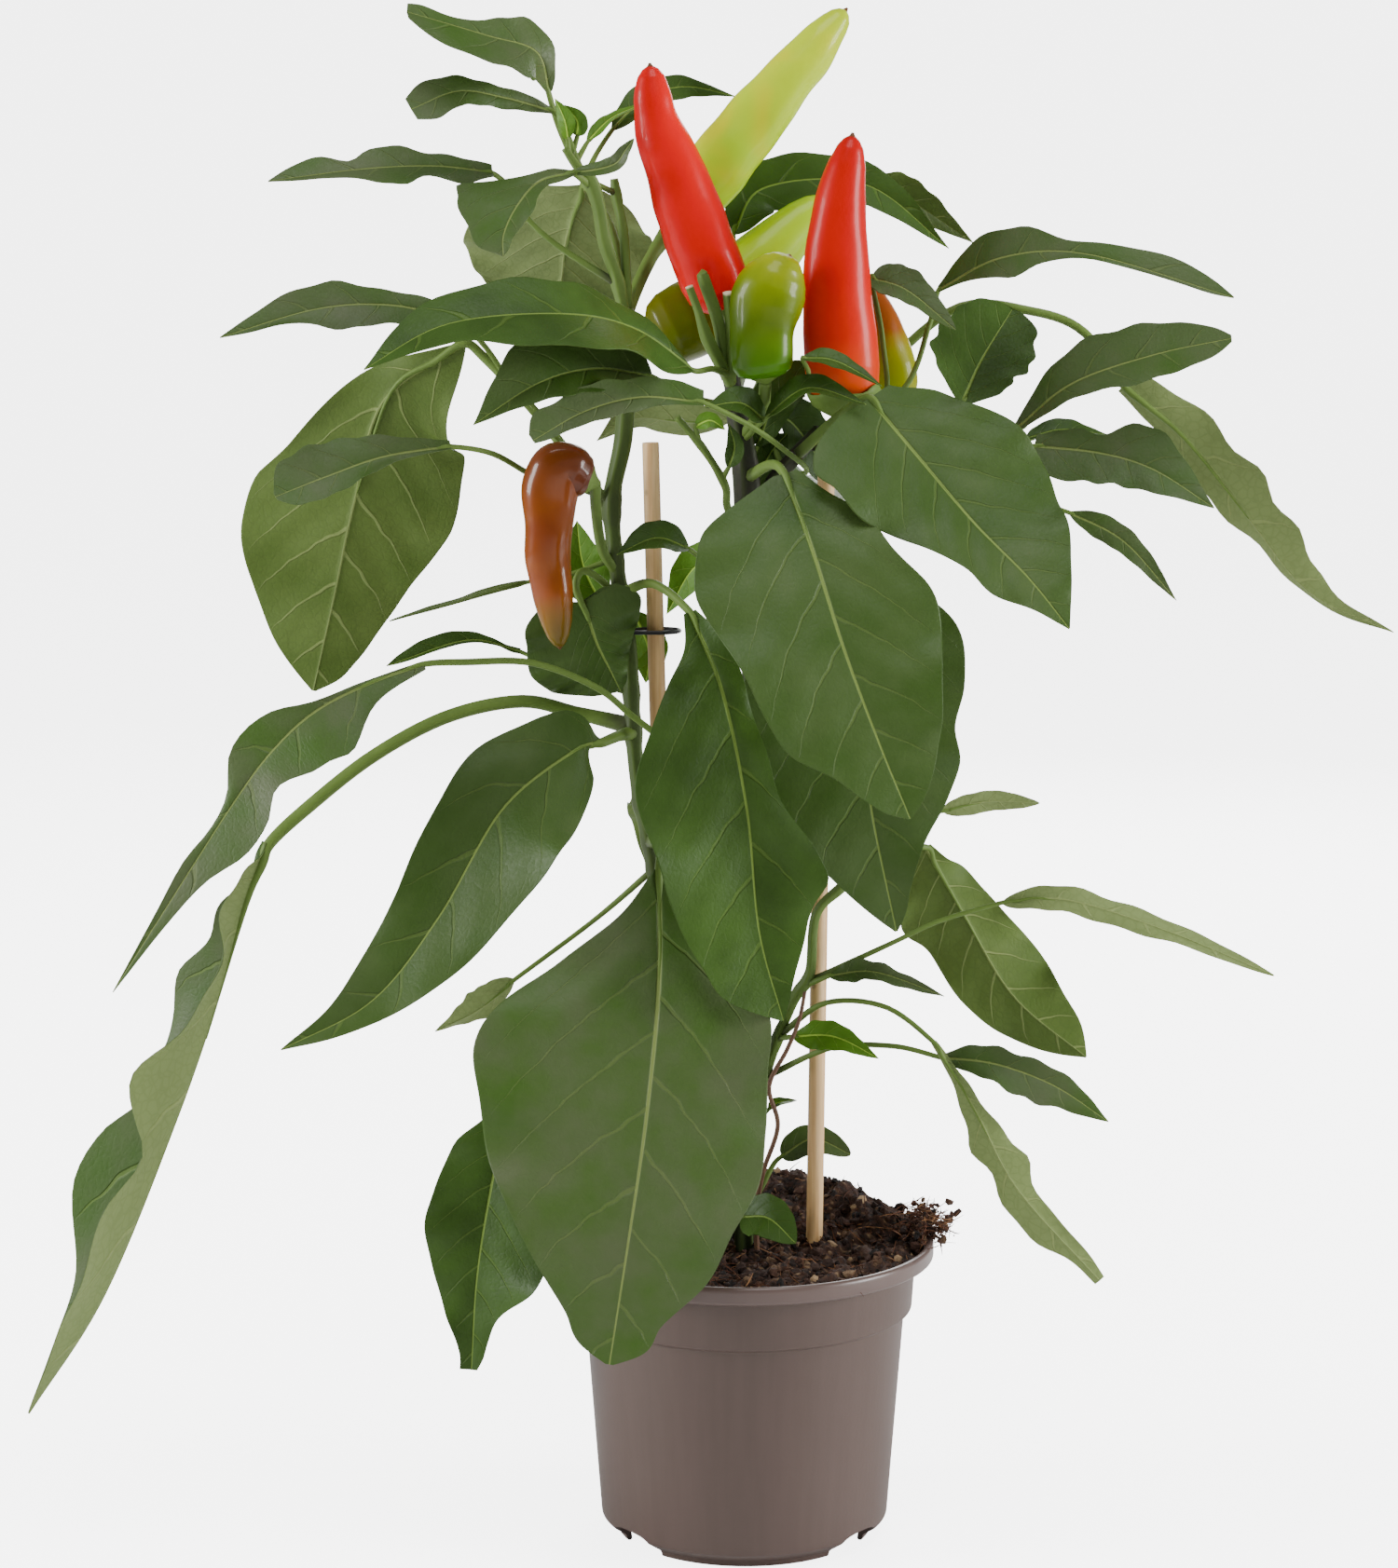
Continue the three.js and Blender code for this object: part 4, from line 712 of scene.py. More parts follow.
def listed(grid):
    """A grid's values as rows, followed by the means of its first and of its last ring."""
    rings, sides = grid.shape[:2]
    rows = grid.reshape(rings, sides, -1)
    flat = rows.reshape(rings * sides, -1)
    return np.vstack([flat, rows[0].mean(axis=0), rows[-1].mean(axis=0)])


def linked(name, data, material=None):
    """An object for a mesh, lamp or camera, linked to the scene, with the mesh's material."""
    made = bpy.data.objects.new(name, data)
    bpy.context.scene.collection.objects.link(made)
    if material:
        data.materials.append(material)
    return made


def mesh_object(name, skins, material, sharp=None):
    """One object from skins. A skin is a dict: `points` is a grid of rings in millimetres, closed
    round each ring, and its other entries are values on the same grid, which become point
    attributes for the material. Edges that turn by more than `sharp` degrees stay sharp."""
    points, faces = [], []
    values = {key: [] for key in skins[0] if key != "points"}
    start = 0
    for skin in skins:
        rings, sides, _ = skin["points"].shape
        own = listed(skin["points"])
        quads, triangles = skin_faces(rings, sides)
        if signed_volume(own, quads, triangles) < 0:
            quads, triangles = quads[:, ::-1], triangles[:, ::-1]
        points.append(own)
        faces.extend((quads + start).tolist())
        faces.extend((triangles + start).tolist())
        for key, store in values.items():
            store.append(listed(np.asarray(skin[key], float)))
        start += len(own)
    mesh = bpy.data.meshes.new(name)
    mesh.from_pydata((np.vstack(points) * MM).tolist(), [], faces)
    for key, store in values.items():
        stacked = np.vstack(store)
        single = stacked.shape[1] == 1
        kind, field = ("FLOAT", "value") if single else ("FLOAT_VECTOR", "vector")
        attribute = mesh.attributes.new(key, kind, "POINT")
        attribute.data.foreach_set(field, stacked.ravel().astype(np.float32))
    mesh.polygons.foreach_set("use_smooth", np.ones(len(mesh.polygons), bool))
    if sharp is not None:
        mesh.set_sharp_from_angle(angle=math.radians(sharp))
    mesh.update()
    return linked(name, mesh, material)


def settle(piece, slot, *nodes):
    """The piece rides on the one body and stands for CAD nodes, which it hides. The slot is not
    used."""
    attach(piece, list(frame["bodies"])[0])
    if nodes:
        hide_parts(*nodes)
    return piece


def stem_point(stem, z):
    """The point on a stem's middle line at height z, straight between the stem's own points."""
    heights = [p[2] for p in stem]
    return tuple(np.interp(z, heights, [p[axis] for p in stem]) for axis in range(3))


def gradient(values, stops):
    """Values between stops of (place, value), straight between them."""
    return np.interp(values, [place for place, _ in stops], [value for _, value in stops])


def waves(points, wavelength, count, seed):
    """Smooth seeded noise in about -1 to 1: the mean of sine waves in random directions, scaled up
    again. Their lengths spread round the one given."""
    rng = np.random.default_rng(seed)
    headings = unit(rng.normal(size=(count, 3)))
    directions = headings * (2 * np.pi / (wavelength * rng.uniform(0.7, 1.6, (count, 1))))
    phases = rng.uniform(0, 2 * np.pi, count)
    return np.sin(points @ directions.T + phases).sum(axis=-1) / math.sqrt(count)


# Materials
#
# Object coordinates are in metres, so a pattern's marks are about 1000 / scale millimetres across.
# A leaf's flat places are in millimetres, so there they are 1 / scale.


def linear(text):
    """An sRGB hex colour as linear RGBA."""
    parts = [int(text[k:k + 2], 16) / 255 for k in (1, 3, 5)]
    return (*(c / 12.92 if c <= 0.04045 else ((c + 0.055) / 1.055) ** 2.4 for c in parts), 1)


def add(tree, kind, inputs=None, out=0, stops=None, **settings):
    """A node of a kind, named without its ShaderNode, with its settings, its inputs as values or
    links, and a ramp's stops. Returns the output `out`. Inputs and outputs go by name or number.
    In a Math node 0, 1 and 2 are the values. In a Map Range node 0 is the value, 1 and 2 are the
    limits that it comes from, and 3 and 4 those that it goes to. In a Mix node 0 is the share of
    the second input, 2 and 3 are numbers, and 6 and 7 are colours."""
    made = tree.nodes.new("ShaderNode" + kind)
    for name, value in settings.items():
        setattr(made, name, value)
    for socket, value in (inputs or {}).items():
        if isinstance(value, bpy.types.NodeSocket):
            tree.links.new(value, made.inputs[socket])
        else:
            made.inputs[socket].default_value = value
    if stops:
        ramp = made.color_ramp.elements
        while len(ramp) < len(stops):
            ramp.new(0.5)
        for element, (place, colour) in zip(ramp, stops):
            element.position = place
            element.color = linear(colour)
    return made.outputs[out] if made.outputs else made


def new_material(name):
    """An empty node material and its tree."""
    material = bpy.data.materials.new(name)
    material.use_nodes = True
    material.node_tree.nodes.clear()
    return material, material.node_tree


def finish_material(tree, **sockets):
    """A Principled shader with the given sockets, joined to the output. In a socket's name _
    stands for a space."""
    inputs = {name.replace("_", " "): value for name, value in sockets.items()}
    shader = add(tree, "BsdfPrincipled", inputs)
    add(tree, "OutputMaterial", {"Surface": shader})


def chilli_leaf(settings):
    """Living chilli leaf: a waxy deep green upper face with sunk yellow-green veins, and a paler,
    matter, grey-green underside with raised veins and a fine net between them. It reads the
    blade's own attributes: rib is the distance from the midrib in midrib widths, veins counts the
    side veins, side is 1 on the underside, across is 0 at the rib and 1 at the margin, tone is one
    of the leaf tones, and flat is the place on the blade in millimetres."""
    material, tree = new_material("living_chilli_leaf")
    names = ("rib", "veins", "side", "across", "tone")
    rib, veins, side, across, tone = (
        add(tree, "Attribute", out="Fac", attribute_name=name) for name in names)
    flat = add(tree, "Attribute", out="Vector", attribute_name="flat")
    under = add(tree, "Math", {0: side, 1: 0.5}, operation="GREATER_THAN")

    wobble = add(tree, "TexNoise", {"Vector": flat, "Scale": 0.12, "Detail": 1.0})
    bent = add(tree, "Math", {0: wobble, 1: 0.16, 2: veins}, operation="MULTIPLY_ADD")
    to_vein = add(tree, "Math", {0: bent, 1: 0.5}, operation="PINGPONG")
    width = add(tree, "MapRange", {0: across, 3: 0.055, 4: 0.012})
    share = add(tree, "Math", {0: to_vein, 1: width}, operation="DIVIDE")
    lateral = add(tree, "MapRange", {0: share, 1: 0.4, 2: 1.0, 3: 1.0, 4: 0.0},
                  interpolation_type="SMOOTHSTEP")
    shown = add(tree, "MapRange", {0: across, 1: 0.75, 2: 0.97, 3: 1.0, 4: 0.0})
    lateral = add(tree, "Math", {0: lateral, 1: shown}, operation="MULTIPLY")
    middle = add(tree, "Math", {0: rib}, operation="ABSOLUTE")
    middle = add(tree, "MapRange", {0: middle, 1: 0.5, 2: 1.1, 3: 1.0, 4: 0.0},
                 interpolation_type="SMOOTHSTEP")
    vein = add(tree, "Math", {0: lateral, 1: middle}, operation="MAXIMUM")

    # The net of small veins has meshes of about 3 mm
    net = add(tree, "TexVoronoi", {"Vector": flat, "Scale": 0.34, "Randomness": 0.9},
              feature="DISTANCE_TO_EDGE")
    net = add(tree, "MapRange", {0: net, 1: 0.0, 2: 0.14, 3: 1.0, 4: 0.0})
    cloud = add(tree, "TexNoise", {"Vector": flat, "Scale": 0.035, "Detail": 3.0,
                "Roughness": 0.6})
    grain = add(tree, "TexNoise", {"Vector": flat, "Scale": 0.9, "Detail": 2.0})
    patch = add(tree, "MapRange", {0: cloud, 1: 0.32, 2: 0.68})

    upper = add(tree, "Mix", {0: patch, 6: (*settings.upper_dark, 1),
                7: (*settings.upper_light, 1)}, **RGBA)
    # Painted sheen and light: the dull tone's lighter grey-green is partly the green of old leaves
    # and partly stands for sheen and stronger light on the leaves that carry it
    dull = add(tree, "MapRange", {0: tone, 2: DULL})
    old_green_and_sheen = add(tree, "Mix", {0: patch, 6: linear("#36501a"), 7: linear("#475233")}, **RGBA)
    upper = add(tree, "Mix", {0: dull, 6: upper, 7: old_green_and_sheen}, **RGBA)
    bright = add(tree, "MapRange", {0: tone, 1: PALE, 2: YOUNG})
    upper = add(tree, "Mix", {0: bright, 6: upper, 7: linear("#4a701a")}, **RGBA)
    vein_colour = add(tree, "ValToRGB", {"Fac": tone}, stops=[(0, "#728a3c"), (0.5, "#748245"),
                      (1, "#9cbf48")])
    amount = add(tree, "Math", {0: middle, 1: 0.8}, operation="MULTIPLY")
    faint = add(tree, "Math", {0: lateral, 1: 0.16}, operation="MULTIPLY")
    amount = add(tree, "Math", {0: amount, 1: faint}, operation="MAXIMUM")
    upper = add(tree, "Mix", {0: amount, 6: upper, 7: vein_colour}, **RGBA)

    lower = add(tree, "Mix", {0: patch, 6: (*settings.under, 1), 7: linear("#52652c")}, **RGBA)
    # Painted light: the pale tone's lighter underside is partly the leaf's own colour and partly
    # stands for light shining through the blade from behind
    pallor_and_backlight = add(tree, "MapRange", {0: tone, 1: DULL, 2: PALE})
    lower = add(tree, "Mix", {0: pallor_and_backlight, 6: lower, 7: linear("#72824d")}, **RGBA)
    net_amount = add(tree, "Math", {0: net, 1: 0.16}, operation="MULTIPLY")
    lower = add(tree, "Mix", {0: net_amount, 6: lower, 7: linear("#3c4a20")}, **RGBA)
    pale = add(tree, "Math", {0: vein, 1: 0.42}, operation="MULTIPLY")
    lower = add(tree, "Mix", {0: pale, 6: lower, 7: linear("#8b985c")}, **RGBA)
    colour = add(tree, "Mix", {0: under, 6: upper, 7: lower}, **RGBA)

    gloss = add(tree, "MapRange", {0: grain, 1: 0.3, 2: 0.7, 3: 0.42, 4: 0.54})
    rough = add(tree, "Mix", {0: under, 2: gloss, 3: 0.62})
    raised = add(tree, "MapRange", {0: under, 3: -1.0, 4: 1.0})
    height = add(tree, "Math", {0: vein, 1: raised}, operation="MULTIPLY")
    fine = add(tree, "Math", {0: net, 1: -0.07, 2: height}, operation="MULTIPLY_ADD")
    height = add(tree, "Math", {0: grain, 1: 0.25, 2: fine}, operation="MULTIPLY_ADD")
    normal = add(tree, "Bump", {"Height": height, "Strength": 0.65, "Distance": 0.0006})
    finish_material(tree, Base_Color=colour, Roughness=rough, Normal=normal, IOR=1.45,
                    Specular_IOR_Level=0.22)
    return material


def green_stem():
    """Living stem and stalks: ridged green bark with long streaks about 1 mm wide, darker with
    age, purple-black at the joints, and pale dry wood where a branch was cut. It reads age, joint
    and cut from the skin, and stripe runs round the tube."""
    material, tree = new_material("green_stem_bark")
    names = ("age", "joint", "cut", "stripe")
    age, joint, cut, stripe = (
        add(tree, "Attribute", out="Fac", attribute_name=name) for name in names)
    where = add(tree, "TexCoord", out="Object")
    long_grain = add(tree, "Mapping", {"Vector": where, "Scale": (1.0, 1.0, 0.12)})
    streaks = add(tree, "TexNoise", {"Vector": long_grain, "Scale": 900.0, "Detail": 3.0})
    cloud = add(tree, "TexNoise", {"Vector": where, "Scale": 90.0, "Detail": 3.0})
    young = add(tree, "Mix", {0: cloud, 6: linear("#68803a"), 7: linear("#4d6626")}, **RGBA)
    old = add(tree, "Mix", {0: streaks, 6: linear("#20281a"), 7: linear("#3a4824")}, **RGBA)
    colour = add(tree, "Mix", {0: age, 6: young, 7: old}, **RGBA)
    ridge = add(tree, "Math", {0: stripe, 1: 0.3}, operation="MULTIPLY")
    colour = add(tree, "Mix", {0: ridge, 6: colour, 7: linear("#647c34")}, **RGBA)
    tinge = add(tree, "Math", {0: joint, 1: cloud}, operation="MULTIPLY")
    tinge = add(tree, "MapRange", {0: tinge, 1: 0.15, 2: 0.6, 3: 0.0, 4: 0.65})
    colour = add(tree, "Mix", {0: tinge, 6: colour, 7: linear("#2f2029")}, **RGBA)
    colour = add(tree, "Mix", {0: cut, 6: colour, 7: linear("#d3c6a4")}, **RGBA)
    rough = add(tree, "MapRange", {0: streaks, 3: 0.45, 4: 0.62})
    height = add(tree, "Math", {0: streaks, 1: 0.5, 2: cloud}, operation="MULTIPLY_ADD")
    normal = add(tree, "Bump", {"Height": height, "Strength": 0.5, "Distance": 0.0003})
    finish_material(tree, Base_Color=colour, Roughness=rough, Normal=normal,
                    Specular_IOR_Level=0.22)
    return material


def pod_skin(pod, settings):
    """Ripening chilli skin: a thin clear wax over the flesh's colour, so hard small highlights
    over soft shine. The colour changes along the pod, with a slight drift, soft patches of its
    second colour about 26 mm across, and a dry brown point."""
    material, tree = new_material(f"waxy_pod_skin_{pod.node}")
    along = add(tree, "Attribute", out="Fac", attribute_name="along")
    where = add(tree, "TexCoord", out="Object")
    drift = add(tree, "TexNoise", {"Vector": where, "Scale": 55.0, "Detail": 2.0})
    shifted = add(tree, "Math", {0: drift, 1: 0.2, 2: along}, operation="MULTIPLY_ADD")
    shifted = add(tree, "Math", {0: shifted, 1: 0.1}, operation="SUBTRACT")
    colour = add(tree, "ValToRGB", {"Fac": shifted}, stops=pod.skin)
    blotch = add(tree, "TexNoise", {"Vector": where, "Scale": 38.0, "Detail": 2.0,
                 "Distortion": 0.4})
    blotch = add(tree, "MapRange", {0: blotch, 1: 0.45, 2: 0.72, 3: 0.0, 4: pod.blush[1]},
                 interpolation_type="SMOOTHSTEP")
    colour = add(tree, "Mix", {0: blotch, 6: colour, 7: linear(pod.blush[0])}, **RGBA)
    tip = add(tree, "MapRange", {0: along, 1: 0.993, 2: 1.0})
    colour = add(tree, "Mix", {0: tip, 6: colour, 7: linear("#5a3a22")}, **RGBA)
    # Swellings of 7 mm and pores of 2.4 mm, coarser than real ones so that they show, give the wax
    # its slight orange peel
    pores = add(tree, "TexNoise", {"Vector": where, "Scale": 420.0, "Detail": 2.0})
    swell = add(tree, "TexNoise", {"Vector": where, "Scale": 140.0, "Detail": 1.0})
    height = add(tree, "Math", {0: pores, 1: 0.25, 2: swell}, operation="MULTIPLY_ADD")
    normal = add(tree, "Bump", {"Height": height, "Strength": 0.28, "Distance": 0.0006})
    finish_material(tree, Base_Color=colour, Roughness=settings.gloss, Normal=normal, IOR=1.45,
                    Coat_Weight=pod.wax, Coat_Roughness=0.1, Specular_IOR_Level=0.16)
    return material


def moulded_polypropylene(settings):
    """Thin injection-moulded polypropylene in taupe: an even satin face with faint upright flow
    marks 4 mm wide, a slight grain of 1 mm, and more shine on the rolled lip, which is also
    lightened with a painted sheen."""
    material, tree = new_material("moulded_taupe_polypropylene")
    where = add(tree, "TexCoord", out="Object")
    cloud = add(tree, "TexNoise", {"Vector": where, "Scale": 14.0, "Detail": 3.0})
    grain = add(tree, "TexNoise", {"Vector": where, "Scale": 900.0, "Detail": 2.0})
    upright = add(tree, "Mapping", {"Vector": where, "Scale": (1.0, 1.0, 0.05)})
    flow = add(tree, "TexNoise", {"Vector": upright, "Scale": 260.0, "Detail": 2.0})
    height = add(tree, "SeparateXYZ", {"Vector": where}, out="Z")
    lip = add(tree, "MapRange", {0: height, 1: 0.0955, 2: 0.0975})
    colour = add(tree, "Mix", {0: cloud, 6: (*settings.colour, 1), 7: linear("#4b3a33")}, **RGBA)
    streak = add(tree, "MapRange", {0: flow, 1: 0.35, 2: 0.75, 3: 0.0, 4: 0.2})
    colour = add(tree, "Mix", {0: streak, 6: colour, 7: linear("#54433c")}, **RGBA)
    # Painted sheen: the rolled lip's colour is lightened towards a paler taupe, standing in for
    # its highlight
    sheen = add(tree, "Math", {0: lip, 1: 0.45}, operation="MULTIPLY")
    colour = add(tree, "Mix", {0: sheen, 6: colour, 7: linear("#62524e")}, **RGBA)
    rough = add(tree, "MapRange", {0: lip, 3: 0.46, 4: 0.3})
    rough = add(tree, "Math", {0: cloud, 1: 0.08, 2: rough}, operation="MULTIPLY_ADD")
    normal = add(tree, "Bump", {"Height": grain, "Strength": 0.12, "Distance": 0.0002})
    finish_material(tree, Base_Color=colour, Roughness=rough, Normal=normal, IOR=1.49)
    return material


def moist_peat(name, dark, mid, pale):
    """Moist peat: nearly black where it is wet, brown on the drier crumbs, with pale flecks. Its
    lumps are 4 mm and its grit is under 2 mm. It reads tone, which each crumb carries for
    itself."""
    material, tree = new_material(name)
    tone = add(tree, "Attribute", out="Fac", attribute_name="tone")
    where = add(tree, "TexCoord", out="Object")
    cloud = add(tree, "TexNoise", {"Vector": where, "Scale": 240.0, "Detail": 4.0,
                "Roughness": 0.7})
    mixed = add(tree, "Math", {0: cloud, 1: 0.5, 2: tone}, operation="MULTIPLY_ADD")
    mixed = add(tree, "Math", {0: mixed, 1: 0.25}, operation="SUBTRACT")
    colour = add(tree, "ValToRGB", {"Fac": mixed}, stops=[(0, dark), (0.5, mid), (1, pale)])
    clods = add(tree, "TexNoise", {"Vector": where, "Scale": 600.0, "Detail": 4.0,
                "Roughness": 0.7})
    height = add(tree, "Math", {0: clods, 1: cloud}, operation="ADD")
    normal = add(tree, "Bump", {"Height": height, "Strength": 0.9, "Distance": 0.0012})
    finish_material(tree, Base_Color=colour, Roughness=0.88, Normal=normal, IOR=1.4)
    return material


def bare_bamboo():
    """Bare bamboo cane without varnish: straw-coloured long fibres of about half a millimetre, in
    bands of 2 mm, with a little sheen and small dark marks."""
    material, tree = new_material("bare_bamboo_cane")
    where = add(tree, "TexCoord", out="Object")
    fibres = add(tree, "Mapping", {"Vector": where, "Scale": (1.0, 1.0, 0.03)})
    grain = add(tree, "TexNoise", {"Vector": fibres, "Scale": 2200.0, "Detail": 2.0})
    bands = add(tree, "TexNoise", {"Vector": fibres, "Scale": 420.0, "Detail": 2.0})
    colour = add(tree, "ValToRGB", {"Fac": bands}, stops=[(0.25, "#c1945f"), (0.5, "#d9b27c"),
                 (0.75, "#e6c898")])
    fine = add(tree, "MapRange", {0: grain, 1: 0.4, 2: 0.7, 3: 0.0, 4: 0.3})
    colour = add(tree, "Mix", {0: fine, 6: colour, 7: linear("#a97f4e")}, **RGBA)
    marks = add(tree, "TexVoronoi", {"Vector": where, "Scale": 45.0})
    marks = add(tree, "MapRange", {0: marks, 1: 0.06, 2: 0.1, 3: 0.7, 4: 0.0})
    colour = add(tree, "Mix", {0: marks, 6: colour, 7: linear("#5d4326")}, **RGBA)
    normal = add(tree, "Bump", {"Height": grain, "Strength": 0.35, "Distance": 0.0003})
    finish_material(tree, Base_Color=colour, Roughness=0.5, Normal=normal, IOR=1.5)
    return material


def plain_finish(name, base, shade, scale, roughness, bump):
    """A plain finish with a soft change between two colours and a fine grain of the given scale
    per metre."""
    material, tree = new_material(name)
    where = add(tree, "TexCoord", out="Object")
    cloud = add(tree, "TexNoise", {"Vector": where, "Scale": scale, "Detail": 3.0})
    colour = add(tree, "Mix", {0: cloud, 6: linear(base), 7: linear(shade)}, **RGBA)
    normal = add(tree, "Bump", {"Height": cloud, "Strength": bump, "Distance": 0.0005})
    finish_material(tree, Base_Color=colour, Roughness=roughness, Normal=normal)
    return material


# Leaves


def blade_share(t, widest, blunt):
    """The share of the half width at t along the rib: (t / m)^p * ((1 - t) / (1 - m))^b, which is
    1 at m, with p = b * m / (1 - m) so that the outline is level there."""
    rise = blunt * widest / (1 - widest)
    return (t / widest) ** rise * ((1 - t) / (1 - widest)) ** blunt


def edge_width(t, edge, half):
    """The half width at t, left (0) or right (1), along a smooth curve through the edge's widths:
    on each span a cubic with the slopes that the points on either side give, never below a tenth
    of a millimetre."""
    places = np.array([row[0] for row in edge])
    widths = np.array([row[1 + half] for row in edge], float)
    slopes = np.gradient(widths, places)
    span = np.clip(np.searchsorted(places, t, side="right") - 1, 0, len(places) - 2)
    gap = places[span + 1] - places[span]
    u = (t - places[span]) / gap
    curve = (widths[span] * (1 + 2 * u) * (1 - u) ** 2 + widths[span + 1] * u**2 * (3 - 2 * u)
             + gap * u * (1 - u) * (slopes[span] * (1 - u) - slopes[span + 1] * u))
    return np.maximum(curve, 0.1)


def is_broad(leaf):
    """Whether a leaf is wide enough for the fine grid."""
    return sum(leaf.half) > BROAD


def blade_width(leaf, tt, far, rng):
    """The half width at t on either side of the rib, times a ragged margin: 1 + a * sin(turns of
    t) * 4 * t * (1 - t), which leaves both ends as they are."""
    ragged, lobes = (0.018, 3.1) if is_broad(leaf) else (0.028 * leaf.wave, 5.3)
    margin = ragged * np.sin(2 * np.pi * lobes * tt + rng.uniform(0, 6) + 2 * far)
    outline = 1 + margin * (tt * (1 - tt) * 4)
    if leaf.edge:
        near_width, far_width = (edge_width(tt, leaf.edge, half) for half in (0, 1))
    else:
        near_width, far_width = (
            leaf.half[half] * blade_share(tt, leaf.widest[half], leaf.blunt) for half in (0, 1))
    return outline * np.where(far, far_width, near_width)


def blade_ripple(leaf, tt, far, reach, waviness, rng):
    """The waves of a blade: a slow and a quick sine wave along each half, times the wave's height
    and a little more than the square of the reach from the rib."""
    start = rng.uniform(0, 6, 4)
    turns = rng.uniform(2.1, 3.1, 2) if is_broad(leaf) else rng.uniform(1.1, 1.9, 2)
    slow = np.sin(2 * np.pi * np.where(far, turns[1], turns[0]) * tt**0.9
                  + np.where(far, start[0], start[1]))
    quick = np.sin(2 * np.pi * np.where(far, turns[0], turns[1]) * 2.3 * tt
                   + np.where(far, start[2], start[3]))
    height = waviness * leaf.wave * (1 if is_broad(leaf) else 0.35)
    fade = np.minimum(1, 1.2 * blade_share(tt, 0.4, 1.15))
    return (slow + 0.4 * quick) * (height * reach**2.2 * fade)


def blade_skin(leaf, seed, settings):
    """A blade as a closed skin. Its middle surface is
    rib(t) + k * w * cos(fold) * across + (|k| * w * sin(fold) + waves + quilting) * up,
    for t along the rib and k across it from -1 to 1, with w the half width at t. The fold is
    rounded off at the rib, a lobe is drawn back beside the stalk, and the quilting lifts the blade
    between its side veins. The upper and lower faces lie half a thickness off the middle, with a
    groove along the upper side of the rib and a round midrib below."""
    rng = np.random.default_rng(seed)
    size = sum(leaf.half)
    rows, columns = BROAD_GRID if is_broad(leaf) else NARROW_GRID
    t = 0.004 + 0.992 * (0.5 - 0.5 * np.cos(np.pi * np.linspace(0, 1, rows))) ** 0.9
    steps = np.append(np.linspace(0, 1, columns) ** 1.45 * 0.985, 1)
    k = np.concatenate([-steps[::-1], steps[1:]])

    places, tangents, length = fine_curve(leaf.rib)
    rib = at_shares(places, t)
    along = unit(at_shares(tangents, t))
    face = np.asarray(leaf.face, float)
    up = unit(face - along * (along @ face)[:, None])
    sideways = np.cross(along, up)

    tt, kk = np.meshgrid(t, k, indexing="ij")
    far = kk >= 0
    reach = np.abs(kk)
    width = blade_width(leaf, tt, far, rng)
    ripple = blade_ripple(leaf, tt, far, reach, settings.waviness, rng)

    # Side veins leave the rib in turn on either side and curve towards the tip
    pairs = 7 if is_broad(leaf) else 5
    advance = (0.75 * width * reach + 0.35 * width * reach**2) / length
    veins = pairs * np.maximum(tt - advance, 0) ** 0.9 + np.where(far, 0.3, 0.75)
    quilting = 0.009 * size * (0.5 - 0.5 * np.cos(2 * np.pi * veins)) * 4 * reach * (1 - reach)
    quilting *= np.minimum(1, 3 * tt) * np.minimum(1, 3 * (1 - tt))

    fold = np.radians(np.where(far, leaf.fold[1], leaf.fold[0]))
    rounded = np.sqrt(reach**2 + RIB_ROUNDING) - math.sqrt(RIB_ROUNDING)
    lift = rounded * width * np.sin(fold) + ripple + quilting
    out = kk * width * np.cos(fold)
    middle = rib[:, None] + out[..., None] * sideways[:, None] + lift[..., None] * up[:, None]
    drawn_back = leaf.lobe * np.sin(np.pi * np.minimum(reach, 0.6) / 1.2)
    drawn_back = drawn_back * np.maximum(0, 1 - tt / 0.35) ** 2
    middle -= drawn_back[..., None] * along[:, None]

    rib_width = (0.5 + 0.006 * size) * (1 - 0.75 * tt)
    from_rib = kk * width / rib_width
    near_rib = np.exp(-(from_rib**2))
    thickness = settings.thickness / MM
    top = middle + (thickness / 2 - 0.35 * rib_width * near_rib)[..., None] * up[:, None]
    bottom = middle - (thickness / 2 + 0.95 * rib_width * near_rib)[..., None] * up[:, None]
    offset = rng.uniform(0, 500, 2)
    flat = np.stack([kk * width + offset[0], tt * length + offset[1], np.zeros_like(tt)], axis=-1)
    tone = np.full_like(tt, leaf.tone)
    faces = {
        "points": (top, bottom),
        "rib": (from_rib, from_rib),
        "veins": (veins, veins),
        "side": (np.zeros_like(tt), np.ones_like(tt)),
        "across": (reach, reach),
        "tone": (tone, tone),
        "flat": (flat, flat),
    }
    # Each ring of the skin goes out over the upper face and comes back under the lower one
    return {name: np.concatenate([upper, lower[:, ::-1]], axis=1)
            for name, (upper, lower) in faces.items()}


def bark_skin(grid, age, joint, cut, stripe):
    """A skin with the values that the bark reads, each spread over the grid of points."""
    values = {"age": age, "joint": joint, "cut": cut, "stripe": stripe}
    spread = {name: np.broadcast_to(value, grid.shape[:2]) for name, value in values.items()}
    return {"points": grid, **spread}


def stalk_section(_, turn):
    """A stalk is round with a shallow groove along its upper side."""
    return 1 - 0.22 * np.exp(-(((turn - np.pi / 2) / 0.6) ** 2))


